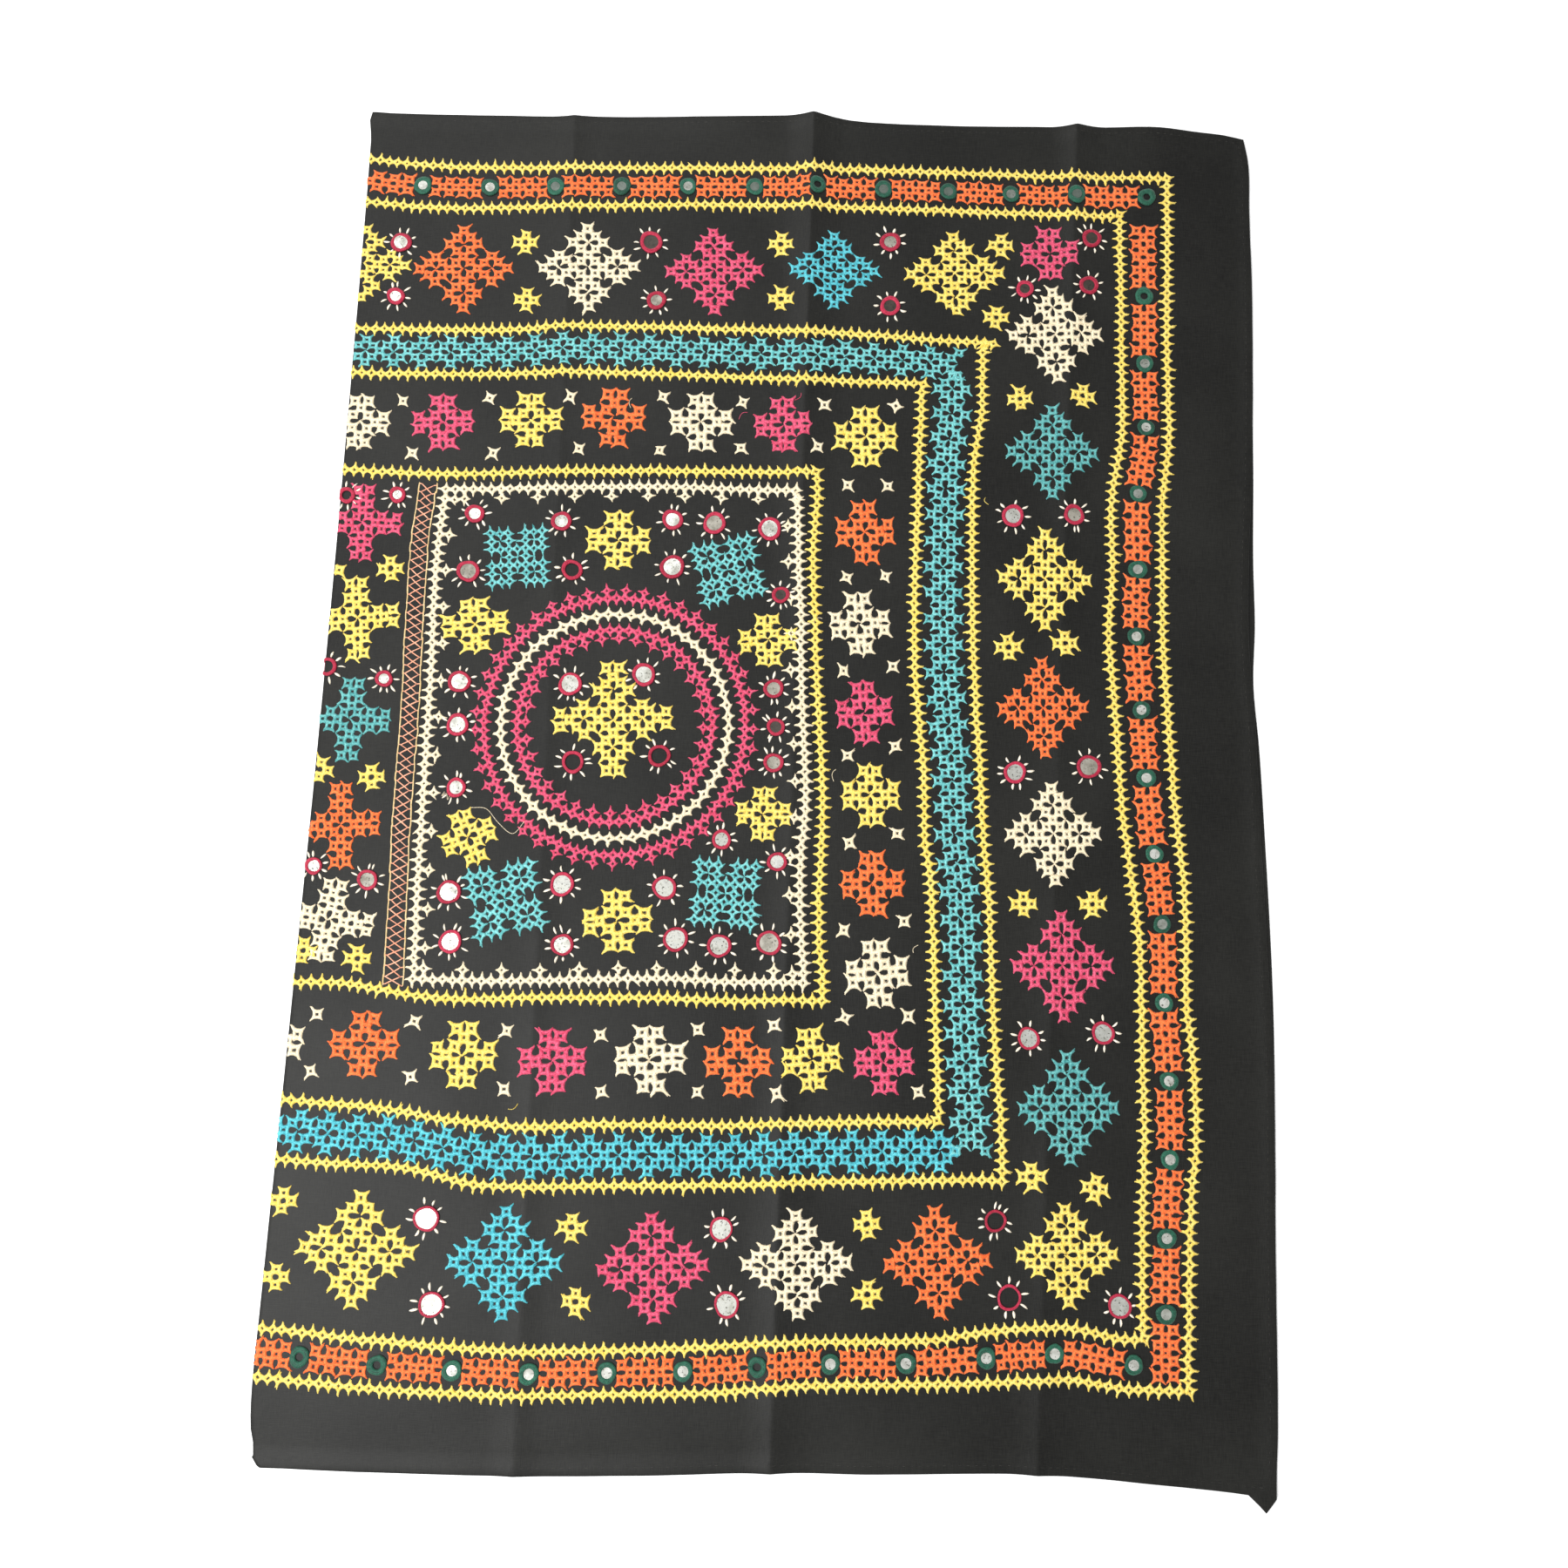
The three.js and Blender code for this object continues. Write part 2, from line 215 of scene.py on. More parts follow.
def with_tail(places):
    """Draws the near corner out into its tail."""
    across, along = places[..., 0], places[..., 1]
    sideways = np.clip(1 - np.abs(across - TAIL.across) / TAIL.half_wide, 0, 1)
    inward = np.clip(1 - (along - TAIL.along) / TAIL.root, 0, 1)
    return np.stack([across, along - TAIL.long * sideways * inward], -1)


def ridges(across, along):
    """Height of the creases over the flat cloth."""
    high = np.zeros(np.shape(across))
    far = np.clip(along / CREASE_FAR, 0, 1) ** 2
    near = np.clip(along / CREASE_NEAR, 0, 1) ** 2
    for crease in CREASES:
        share = (along - CREASE_NEAR) / (CREASE_FAR - CREASE_NEAR)
        off = across - mix(crease.near_across, crease.far_across, share)
        reach = np.where(off < 0, crease.left_wide, crease.right_wide)
        away = np.sqrt(off**2 + CREST_SOFT**2) - CREST_SOFT
        crest = crease.mid_high + (crease.far_high - crease.mid_high) * far
        crest = crest + (crease.near_high - crease.mid_high) * near
        high = high + crest * np.clip(1 - away / reach, 0, 1) ** 2
    return high


def swells(across, along):
    """Height of the broad swells between the creases."""
    high = np.zeros(np.shape(across))
    for swell in SWELLS:
        away = ((across - swell.across) / swell.wide) ** 2 + ((along - swell.along) / swell.long) ** 2
        high = high + swell.high * np.exp(-SWELL_FALL * away)
    return high


def puckers(across, along):
    """Height of the shallow waves round the stitches."""
    high = np.zeros(np.shape(across))
    for wave in WAVES:
        high = high + np.sin(wave.across * across + wave.along * along + wave.start)
    return PUCKER_HIGH * high / 2


def top_of_cloth(across, along):
    """Height of the upper layer's right side, away from its hems."""
    inward = np.clip(1 - (across - fold_at(along)) / FOLD_PUFF_WIDE, 0, 1)
    high = 2 * CLOTH_THICK + LAYERS_APART + FOLD_PUFF * inward**2
    return high + ridges(across, along) + swells(across, along) + puckers(across, along)


def on_cloth(across, along, up):
    """Points at a height over the cloth's right side, bent round the fold where they reach it."""
    edge = fold_at(along)
    radius = top_of_cloth(edge + FOLD_ROOM, along) / 2
    past = np.clip(edge + radius - across, 0, None)
    turn = np.minimum(past / radius, MOST_TURN)
    flat = past == 0
    high = top_of_cloth(np.maximum(across, edge + FOLD_ROOM), along)
    x = np.where(flat, across, edge + radius - (radius + up) * np.sin(turn))
    z = np.where(flat, high + up, radius + (radius + up) * np.cos(turn))
    return np.stack([x, np.broadcast_to(along, np.shape(x)), z], -1) * MM


# Meshes from templates and arrays


def template(bm):
    """A bmesh's vertices and faces as arrays, for copies joined into one mesh."""
    bm.verts.index_update()
    points = np.array([v.co[:] for v in bm.verts])
    faces = [[v.index for v in face.verts] for face in bm.faces]
    bm.free()
    return points, faces


def joined_mesh(name, points, faces, uv, attributes):
    """One mesh of many copies of a template. points is copies by vertices by 3, in metres."""
    copies, per_copy, _ = points.shape
    corners = np.concatenate([np.array(face) for face in faces])
    sizes = np.array([len(face) for face in faces])
    mesh = bpy.data.meshes.new(name)
    mesh.vertices.add(copies * per_copy)
    mesh.vertices.foreach_set("co", points.astype(np.float32).ravel())
    all_corners = (corners[None, :] + per_copy * np.arange(copies)[:, None]).ravel()
    starts = np.concatenate([[0], np.cumsum(np.tile(sizes, copies))[:-1]])
    mesh.loops.add(len(all_corners))
    mesh.loops.foreach_set("vertex_index", all_corners.astype(np.int32))
    mesh.polygons.add(len(starts))
    mesh.polygons.foreach_set("loop_start", starts.astype(np.int32))
    mesh.polygons.foreach_set("use_smooth", np.ones(len(starts), bool))
    mesh.update(calc_edges=True)
    layer = mesh.uv_layers.new(name="strand")
    uv = np.broadcast_to(uv, (copies, per_copy, 2)).reshape(-1, 2)
    layer.uv.foreach_set("vector", uv[all_corners].astype(np.float32).ravel())
    for key, values in attributes.items():
        values = np.broadcast_to(np.reshape(values, (copies, -1)), (copies, per_copy))
        attribute = mesh.attributes.new(key, "FLOAT", "POINT")
        attribute.data.foreach_set("value", np.ascontiguousarray(values, np.float32).ravel())
    mesh.validate()
    return mesh


def add_piece(name, mesh, slot, material):
    """Links a mesh as a piece that rides with the cloth and gives it its material. The slot is not used."""
    piece = bpy.data.objects.new(name, mesh)
    bpy.context.scene.collection.objects.link(piece)
    mesh.materials.append(material)
    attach(piece, "root")
    return piece


STRAND_CUTS = (-0.6, -0.2, 0.2, 0.6)
STRAND_DROP = 0.55
STRAND_DROP_POWER = 3
TAPER_POWER = 2.5


def strand_template():
    """A strand along X from -1 to 1: six rings of three points, one on top and two beside."""
    bm = bmesh.new()
    bmesh.ops.create_cone(bm, segments=3, radius1=1, radius2=1, depth=2, cap_ends=True)
    turned = Matrix.Rotation(-math.pi / 2, 3, "Y") @ Matrix.Rotation(-math.pi / 2, 3, "Z")
    bmesh.ops.rotate(bm, verts=bm.verts, cent=(0, 0, 0), matrix=turned)
    for place in STRAND_CUTS:
        geometry = bm.verts[:] + bm.edges[:] + bm.faces[:]
        bmesh.ops.bisect_plane(bm, geom=geometry, plane_co=(place, 0, 0), plane_no=(1, 0, 0))
    bmesh.ops.recalc_face_normals(bm, faces=bm.faces)
    points, faces = template(bm)
    way = points[:, 0]
    side = points[:, 1] / np.abs(points[:, 1]).max()
    rise = (points[:, 2] - points[:, 2].min()) / np.ptp(points[:, 2])
    return way, np.round(side, 3), rise, faces


def strands(name, rows, bury=0.15):
    """Straight or bowed strands on the cloth. A row is two ends, width, height, bow, tint and taper."""
    rows = np.array(rows, float)
    way, side, rise, faces = strand_template()
    start, end = rows[:, 0:2, None], rows[:, 2:4, None]
    wide, high, bow, tint, taper = (rows[:, k, None] for k in range(4, 9))
    run = rows[:, 2:4] - rows[:, 0:2]
    normal = np.stack([-run[:, 1], run[:, 0]], -1) / np.linalg.norm(run, axis=1, keepdims=True)
    share = (way + 1) / 2
    middle = start + (end - start) * share
    swing = bow * (1 - way**2)
    half = wide / 2 * (1 - taper * np.abs(way) ** TAPER_POWER)
    offset = swing + half * side
    across = middle[:, 0] + normal[:, 0, None] * offset
    along = middle[:, 1] + normal[:, 1, None] * offset
    arch = 1 - STRAND_DROP * np.abs(way) ** STRAND_DROP_POWER
    points = on_cloth(across, along, rise * high * arch - bury)
    uv = np.stack([share, (side + 1) / 2], -1)
    return joined_mesh(name, points, faces, uv, {"tint": tint})


# Stitch charts: the cells of each motif, two units apart along a row and one across a diagonal


def four_ways(cells):
    """Cells with their mirror images across both axes and both diagonals."""
    found = set()
    for x, y in cells:
        for a, b in ((x, y), (y, x)):
            found |= {(a, b), (-a, b), (a, -b), (-a, -b)}
    return found


def block(pairs):
    """A lattice two cells high, as long as a number of pairs."""
    ends = range(1 - pairs, pairs, 2)
    return {(x, y) for x in ends for y in (-1, 1)} | {(x + 1, 0) for x in list(ends)[:-1]}


SUB_CROSS = four_ways([(1, 1), (0, 2)])
DIAMOND_STEPS = ((0, 0), (4, 0), (-4, 0), (0, 4), (0, -4))
DIAMOND = {(x + a, y + b) for x, y in SUB_CROSS for a, b in DIAMOND_STEPS}
BIG_CROSS = DIAMOND | four_ways([(1, 7)])
SQUARE_CROSS = four_ways([(1, 1), (0, 2), (1, 3)])
LONG_CROSS = SQUARE_CROSS | four_ways([(0, 4), (1, 5)])
SMALL_CROSS = four_ways([(0, 1)])
STAR = {(0, 0)}
CORNERS = ((1, 1), (-1, 1), (-1, -1), (1, -1))

# A cell's place, its two half axes and how far each linked horn reaches, 0 where it is free
Cell = namedtuple("Cell", "across along x_across x_along y_across y_along links")


def linked(chart, i, j):
    """How far each horn of a chart's cell reaches towards a neighbour, or 0 where it has none."""
    return tuple(LINK_END if (i + a, j + b) in chart else 0.0 for a, b in CORNERS)


def motif(chart, across, along, unit, turn):
    """The cells of a chart round a middle, at a unit size across and along, turned by degrees."""
    c, s = math.cos(math.radians(turn)), math.sin(math.radians(turn))
    x_axis = (unit[0] * c, unit[0] * s)
    y_axis = (-unit[1] * s, unit[1] * c)
    cells = []
    outermost = max(max(cell) for cell in chart)
    for i, j in sorted(chart):
        links = linked(chart, i, j)
        if abs(i) == outermost:
            i, j = i * TIP_REACH, j * PAIR_PINCH
        elif abs(j) == outermost:
            i, j = i * PAIR_PINCH, j * TIP_REACH
        place = (across + i * x_axis[0] + j * y_axis[0], along + i * x_axis[1] + j * y_axis[1])
        cells.append(Cell(*place, *x_axis, *y_axis, links))
    return cells


SAME_WAY = 0.8
LOOK_AHEAD = 3
RUN_STEP = 3


class Run:
    """A line on the cloth, measured along its length."""

    def __init__(self, points):
        self.points = np.array(points, float)
        steps = np.linalg.norm(np.diff(self.points, axis=0), axis=1)
        self.measure = np.concatenate([[0], np.cumsum(steps)])
        self.long = self.measure[-1]

    def at(self, reach):
        """The place at a distance along the line, and the direction there."""
        place = [np.interp(reach, self.measure, self.points[:, k]) for k in (0, 1)]
        ahead = [np.interp(reach + LOOK_AHEAD, self.measure, self.points[:, k]) for k in (0, 1)]
        back = [np.interp(reach - LOOK_AHEAD, self.measure, self.points[:, k]) for k in (0, 1)]
        way = np.array([ahead[0] - back[0], ahead[1] - back[1]])
        return np.array(place), way / np.linalg.norm(way)


def band_run(rows, start, end, side=0, lengthwise=False):
    """A band's line between two places: its middle, or one of its two sides."""
    middle = through([row[:2] for row in rows])
    places = np.linspace(start, end, max(2, round(abs(end - start) / RUN_STEP)))
    other = middle(places)
    if side:
        other = other + side * through([(at, half) for at, mid, half in rows])(places)
    return Run(np.stack([other, places] if lengthwise else [places, other], -1))


def chain(runs, pitch, reach, closed=False):
    """Cells joined horn to horn along runs that meet at corners."""
    spots = []
    for number, run in enumerate(runs):
        count = max(1, round(run.long / pitch))
        for k in range(0 if number == 0 else 1, count + 1):
            spots.append((*run.at(run.long * k / count), run.long / count))
    if closed:
        spots.pop()
    cells = []
    last = len(spots) - 1
    for k, (place, way, step) in enumerate(spots):
        before = spots[k - 1][0] if k > 0 or closed else place - way
        after = spots[(k + 1) % len(spots)][0] if k < last or closed else place + way
        normal = np.array([-way[1], way[0]])
        forward = way * step
        sideways = normal * reach
        horns = (forward, sideways, -forward, -sideways)
        toward = [v / max(np.linalg.norm(v), 1e-6) for v in (before - place, after - place)]
        near = [any(np.dot(h / np.linalg.norm(h), v) > SAME_WAY for v in toward) for h in horns]
        links = tuple(LINK_END if joined else 0.0 for joined in near)
        x_axis = (forward - sideways) / 2
        y_axis = (forward + sideways) / 2
        cells.append(Cell(*place, *x_axis, *y_axis, links))
    return cells


def with_teeth(cells, every, first, offset, reach):
    """Adds a cell beside every so many of a chain's cells, on the side that offset points to."""
    found = []
    for k, cell in enumerate(cells):
        if k % every != first:
            found.append(cell)
            continue
        forward = np.array([cell.x_across + cell.y_across, cell.x_along + cell.y_along])
        way = forward / np.linalg.norm(forward)
        normal = np.array([-way[1], way[0]]) * math.copysign(1, offset)
        inner = 1 if offset > 0 else 3
        links = tuple(TOOTH_END if i == inner else x for i, x in enumerate(cell.links))
        found.append(cell._replace(links=links))
        place = np.array([cell.across, cell.along]) + normal * abs(offset)
        sideways = np.array([-way[1], way[0]]) * reach
        x_axis = (way * reach - sideways) / 2
        y_axis = (way * reach + sideways) / 2
        tooth_links = tuple(TOOTH_END if i == 4 - inner else 0.0 for i in range(4))
        found.append(Cell(*place, *x_axis, *y_axis, tooth_links))
    return found


def lattice(run, chart, first, unit, skip=()):
    """A chart's cells, without those to skip, laid along a run from a first place on it."""
    cells = []
    for i, j in sorted(chart):
        if (i, j) in skip:
            continue
        place, way = run.at(first + i * unit[0])
        normal = np.array([-way[1], way[0]])
        place = place + normal * j * unit[1]
        cells.append(Cell(*place, *(way * unit[0]), *(normal * unit[1]), linked(chart, i, j)))
    return cells


def cross_band(count):
    """A row of crosses that share the cells between them."""
    return {(4 * k + a, b) for k in range(count) for a, b in SUB_CROSS}


# Cell form: sides, links and horns as shares of its unit, heights and the fold's reach in millimetres
SIDE_MIDDLE = 0.385
SIDE_HALF = 0.365
INNER_SIDE_HALF = 0.375
LINK_END = 0.58
LINK_HALF = 0.42
HORN_END = 0.93
HORN_HALF = 0.09
BEND = 2.2
TOOTH_END = 0.7
PAIR_PINCH = 0.87
TIP_REACH = 1.035
HALF_POWER = 1.6
CROWN_DROP = 0.35
CROWN_DROP_POWER = 3
LEAN_POWER = 3
CROSSING_RISE = 0.16
CELL_BURY = 0.12
PAST_FOLD = 1.5

# How uneven the cells are: one deviation of each size
CELL_TURN = 0.05
CELL_SCALE = 0.035
CELL_SHIFT = 0.28
HORN_REACH = 0.11
HORN_LEAN = 0.08
SIDE_SHIFT = 0.025
TINT_MIDDLE = 0.5
TINT_SPREAD = 0.12


def stitch_mesh(name, cells, crown, fill, seed):
    """One mesh of many cells, each four strands that cross at its horns. fill is the strands' width."""
    rng = np.random.default_rng(seed)
    keep = [c for c in cells if c.across > float(fold_at(c.along)) - PAST_FOLD]
    count = len(keep)
    centre = np.array([[c.across, c.along] for c in keep])
    x_axis = np.array([[c.x_across, c.x_along] for c in keep])
    y_axis = np.array([[c.y_across, c.y_along] for c in keep])
    links = np.array([c.links for c in keep])
    turn = rng.normal(0, CELL_TURN, count)[:, None]
    scale = rng.normal(1, CELL_SCALE, (2, count))[:, :, None]
    centre = centre + rng.normal(0, CELL_SHIFT, (count, 2))
    x_turned = (x_axis + turn * y_axis) * scale[0]
    y_turned = (y_axis - turn * x_axis) * scale[1]
    free = links == 0
    ends = np.where(free, HORN_END * rng.normal(1, HORN_REACH, (count, 4)), links)
    skew = np.where(free, rng.normal(0, HORN_LEAN, (count, 4)), 0)
    halves = np.where(free, HORN_HALF, LINK_HALF * fill)
    inner = np.stack([~free[:, k] & ~free[:, (k + 1) % 4] for k in range(4)])[:, :, None]
    side_middle = SIDE_MIDDLE + rng.normal(0, SIDE_SHIFT, (4, count, 1))
    side_half = np.where(inner, INNER_SIDE_HALF, SIDE_HALF) * fill
    way, side, rise, faces = strand_template()
    points = []
    tints = []
    for k in range(4):
        plus, minus = ends[:, k, None], ends[:, (k + 1) % 4, None]
        end = np.where(way > 0, plus, minus)
        half_end = np.where(way > 0, halves[:, k, None], halves[:, (k + 1) % 4, None])
        lean = np.where(way > 0, skew[:, k, None], skew[:, (k + 1) % 4, None])
        away = np.abs(way)
        x = end * way + lean * away**LEAN_POWER
        y = side_middle[k] + (end - side_middle[k]) * away**BEND + lean * away**LEAN_POWER
        slope = BEND * (end - side_middle[k]) * away ** (BEND - 1) * np.sign(way)
        size = np.hypot(end, slope)
        half = side_half[k] + (half_end - side_half[k]) * away**HALF_POWER
        x = x - slope / size * side * half
        y = y + end / size * side * half
        for _ in range(k):
            x, y = -y, x
        across = centre[:, 0, None] + x_turned[:, 0, None] * x + y_turned[:, 0, None] * y
        along = centre[:, 1, None] + x_turned[:, 1, None] * x + y_turned[:, 1, None] * y
        crossing = CROSSING_RISE * way * (1 if k % 2 else -1)
        up = rise * (crown * (1 - CROWN_DROP * away**CROWN_DROP_POWER) + crossing) - CELL_BURY
        points.append(on_cloth(across, along, up))
        tints.append(TINT_MIDDLE + rng.normal(0, TINT_SPREAD, count))
    points = np.stack(points, 1).reshape(4 * count, len(way), 3)
    tints = np.stack(tints, 1).reshape(4 * count)
    uv = np.stack([(way + 1) / 2, (side + 1) / 2], -1)
    return joined_mesh(name, points, faces, uv, {"tint": tints})


# Bands. A row is a place along the band, its middle line's place and half the gap of its two chains
OUTER_FAR = [
    (-532, 684, 28), (-428, 679, 27), (-259, 686, 25), (-90, 692, 24), (80, 695, 25), (334, 694, 25),
    (410, 696, 25),
]
OUTER_SIDE = [
    (670, 411, 29), (480, 410, 27), (390, 410, 28), (306, 399, 30), (232, 399, 29), (150, 396, 31),
    (77, 400, 30), (-63, 409, 30), (-131, 417, 29), (-200, 422, 26), (-267, 422, 25), (-340, 426, 28),
    (-415, 427, 28), (-487, 422, 26), (-638, 418, 24),
]
OUTER_NEAR = [
    (-540, -657, 24), (-425, -666, 24), (-277, -671, 22), (-131, -666, 22), (-58, -662, 23),
    (15, -655, 22), (162, -649, 22), (235, -642, 26), (309, -636, 26), (374, -645, 25),
]
INNER_FAR = [
    (-531, 465, 28), (-349, 470, 28), (-267, 477, 29), (64, 477, 30), (147, 475, 28), (215, 472, 29),
]
INNER_SIDE = [
    (414, 181, 36), (339, 175, 32), (119, 175, 34), (-22, 186, 32), (-91, 189, 33), (-159, 196, 32),
    (-292, 202, 32), (-420, 210, 34),
]
INNER_NEAR = [
    (-540, -429, 31), (-462, -433, 31), (-406, -436, 29), (-368, -442, 29), (-330, -448, 32),
    (-274, -451, 31), (-198, -447, 32), (-48, -443, 31), (27, -438, 31), (225, -430, 31),
]

# The chain round the square and the cream one in it. A row is a place along the line and the line's own
SQUARE_FAR = [(-531, 318), (-421, 316), (-340, 320), (-259, 325), (-15, 332)]
SQUARE_SIDE = [(303, 25), (229, 22), (156, 26), (85, 30), (-55, 40), (-191, 39), (-249, 45)]
SQUARE_NEAR = [
    (-540, -272), (-485, -272), (-418, -281), (-350, -286), (-284, -282), (-131, -278), (-54, -279),
    (3, -276),
]
CREAM_FAR = [(-390, 298), (-319, 302), (-157, 309), (-75, 309), (-14, 309)]
CREAM_RIGHT = [(302, 2), (228, 5), (156, 10), (84, 12), (-56, 21), (-124, 17), (-192, 19), (-249, 24)]
CREAM_NEAR = [(-405, -265), (-323, -265), (-132, -257), (-55, -258), (-7, -257)]
CREAM_LEFT = [(289, -408), (215, -413), (71, -410), (-137, -408), (-262, -405)]
FOLD_SIDE = -548

# The corners that each chain turns at, far then near
Corners = namedtuple("Corners", "far near")
CHAIN_CORNERS = {
    "outer": Corners((440, 722), (443, -670)),
    "outer_inside": Corners((382, 672), (396, -618)),
    "inner": Corners((230, 500), (244, -462)),
    "inner_inside": Corners((147, 446), (173, -400)),
    "square": Corners((22, 333), (45, -276)),
}
CREAM_CORNERS = {
    "far_right": (-1, 309),
    "near_right": (23, -257),
    "near_left": (-405, -264),
    "far_left": (-408, 297),
}
BAND_CORNERS = Corners((188, 473), (208, -431))

CHAIN_PITCH = 10.7
CHAIN_REACH = 9.0
CREAM_PITCH = 10.7
CREAM_REACH = 9.4
CREAM_TOOTH_OUT = 11.6
CREAM_TOOTH_REACH = 9.0

# Green-ringed mirrors, a row each: its place along the band, and how bright its glass shows, a painted
# reflection
GREEN_FAR = [
    (-462, 0.8), (-381, 0.9), (-302, 0.1), (-222, 0.15), (-142, 0.6), (-61, 0.15), (15, 0), (95, 0.1),
    (174, 0.1), (250, 0.25), (329, 0.1), (415, 0),
]
GREEN_SIDE = [
    (567, 0), (481, 0.5), (401, 0.8), (319, 0.4), (227, 0.6), (147, 1), (61, 0.9), (-17, 0.9),
    (-103, 0.9), (-181, 0.45), (-267, 0.9), (-351, 0.9), (-434, 0.9), (-516, 0.8), (-593, 0.7),
]
GREEN_NEAR = [
    (-496, 0), (-414, 0), (-335, 0.8), (-254, 0.9), (-172, 0.9), (-92, 0.8), (-14, 0), (63, 0.9),
    (143, 0.8), (228, 0.9), (300, 0.9), (384, 0.9),
]
GREEN_REACH = 11.0
GREEN_GLASS = 6.2
GREEN_RIM = 1.2
GREEN_FILLED = 2.5
GREEN_SHARE_HIGH = 0.9
GREEN_REACHES = 0.4
GREEN_TWIST = 22.0

# The small green-ringed glass: its sides, its top's share of its radius, its thickness and its gap
SMALL_SIDES = 14
SMALL_BEVEL = 0.94
SMALL_THICK = 1.0
SMALL_GAP = 0.35

# The orange border: its line, its mirrors, whether it runs along the cloth, the unit of its stitches
# across it, and the places where its stitches begin and end beyond the mirrors
Border = namedtuple("Border", "rows mirrors lengthwise unit before after")
BORDERS = [
    Border(OUTER_FAR, GREEN_FAR, False, 7.3, [FOLD_SIDE - 4], []),
    Border(OUTER_SIDE, GREEN_SIDE, True, 8.2, [668], [-671]),
    Border(OUTER_NEAR, GREEN_NEAR, False, 7.6, [FOLD_SIDE - 28], []),
]
LONG_GAP = 92
BLOCK_INTO_RING = 3
BLOCK_TIPS = 0.4

# The turquoise band's three sides: the unit of its stitches across it and the length of one cross
TURQUOISE_UNITS = (7.1, 8.0, 8.0)
TURQUOISE_STEPS = (33.6, 31.4, 31.8)
CROSS_UNITS = 4


def cornered(rows_far, rows_side, rows_near, name, side):
    """The three runs of a chain round the open side: in from the fold, down and back to it."""
    far, near = CHAIN_CORNERS[name]
    runs = [
        band_run(rows_far, FOLD_SIDE, far[0], side),
        band_run(rows_side, far[1], near[1], side, lengthwise=True),
        band_run(rows_near, near[0], FOLD_SIDE, -side),
    ]
    for k, corner in ((0, far), (1, near)):
        runs[k].points[-1] = corner
        runs[k + 1].points[0] = corner
    return [Run(run.points) for run in runs]


def yellow_chains(rows, sides):
    """The cells of chains on the sides of a band. sides is pairs of a chain's name and its side."""
    cells = []
    for name, side in sides:
        cells += chain(cornered(*rows, name, side), CHAIN_PITCH, CHAIN_REACH)
    return cells


def orange_blocks():
    """A lattice of stitches between each pair of green-ringed mirrors."""
    cells = []
    for border in BORDERS:
        places = border.before + [place for place, bright in border.mirrors] + border.after
        middle = band_run(border.rows, min(places), max(places), 0, border.lengthwise)
        line = middle.points[:, 1 if border.lengthwise else 0]
        for a, b in zip(places, places[1:]):
            gap = abs(b - a)
            pairs = 5 if gap > LONG_GAP else 4
            unit = (gap - 2 * GREEN_REACH + BLOCK_INTO_RING) / (2 * pairs - BLOCK_TIPS)
            centre = np.interp((a + b) / 2, line, middle.measure)
            cells += lattice(middle, block(pairs), centre, (unit, border.unit))
    return cells


def turquoise_band():
    """Crosses round the inner band: those of its far and open sides, then those of its near side."""
    far, near = BAND_CORNERS
    runs = [
        band_run(INNER_FAR, FOLD_SIDE, far[0]),
        band_run(INNER_SIDE, far[1], near[1], lengthwise=True),
        band_run(INNER_NEAR, near[0], FOLD_SIDE),
    ]
    sides = []
    for run, unit_across, step in zip(runs, TURQUOISE_UNITS, TURQUOISE_STEPS):
        crosses = round(run.long / step)
        unit = (run.long / crosses / CROSS_UNITS, unit_across)
        chart = cross_band(crosses + 1)
        taken = {cell for cell in chart if sides and cell[0] < CROSS_UNITS / 2}
        sides.append(lattice(run, chart, 0, unit, taken))
    return sides[0] + sides[1], sides[2]


# Motifs. A row is the thread's colour, the middle's place, its turn in degrees and its size across
# and along as shares of its group's. A row with no turn or size is straight and of the group's size
Motif = namedtuple("Motif", "colour across along turn wide long", defaults=(0, 1, 1))
FAR_DIAMONDS = [
    ("yellow", -525, 576, 0, 0.93, 0.88), ("orange", -406, 574, 3), ("cream", -257, 581, 3, 1.04, 1.01),
    ("pink", -106, 582, 3), ("turquoise", 38, 587, 1, 0.92, 0.88), ("yellow", 183, 588, 3, 1.02, 0.96),
]
SIDE_DIAMONDS = [
    ("cream", 303, 514, 3), ("teal", 300, 367, 0, 0.96, 0.96), ("yellow", 291, 212, 0, 0.96, 1),
    ("orange", 289, 60, 2, 0.92, 0.95), ("cream", 300, -84, 2, 0.96, 0.96), ("pink", 310, -230, 2),
    ("teal", 316, -383, 2), ("yellow", 314, -536, 2, 1, 0.88),
]
NEAR_DIAMONDS = [
    ("yellow", -445, -551, -1, 1.03, 1.01), ("turquoise", -287, -560, 1),
    ("pink", -129, -561, 4, 0.99, 0.96), ("cream", 25, -553, 3, 0.98, 0.95),
    ("orange", 175, -547, 4, 0.94, 0.96),
]
FAR_CROSSES = [
    ("cream", -514, 377, 0, 0.93, 0.93), ("pink", -417, 380, 4, 0.98, 0.95),
    ("yellow", -314, 386, 2, 1, 0.94), ("orange", -217, 393), ("cream", -114, 390, 2),
    ("pink", -18, 390, 3, 0.9, 0.94), ("yellow", 80, 379, 2, 1.01, 1.04),
]
SIDE_CROSSES = [
    ("orange", 82, 262, 4, 0.96, 1), ("cream", 78, 152, 5), ("pink", 85, 49, 5, 0.92, 0.96),
    ("yellow", 94, -46, 3, 0.93, 0.94), ("orange", 98, -146, 3, 1, 0.96), ("cream", 105, -244, 6),
    ("pink", 114, -340, 4, 0.9, 0.9),
]
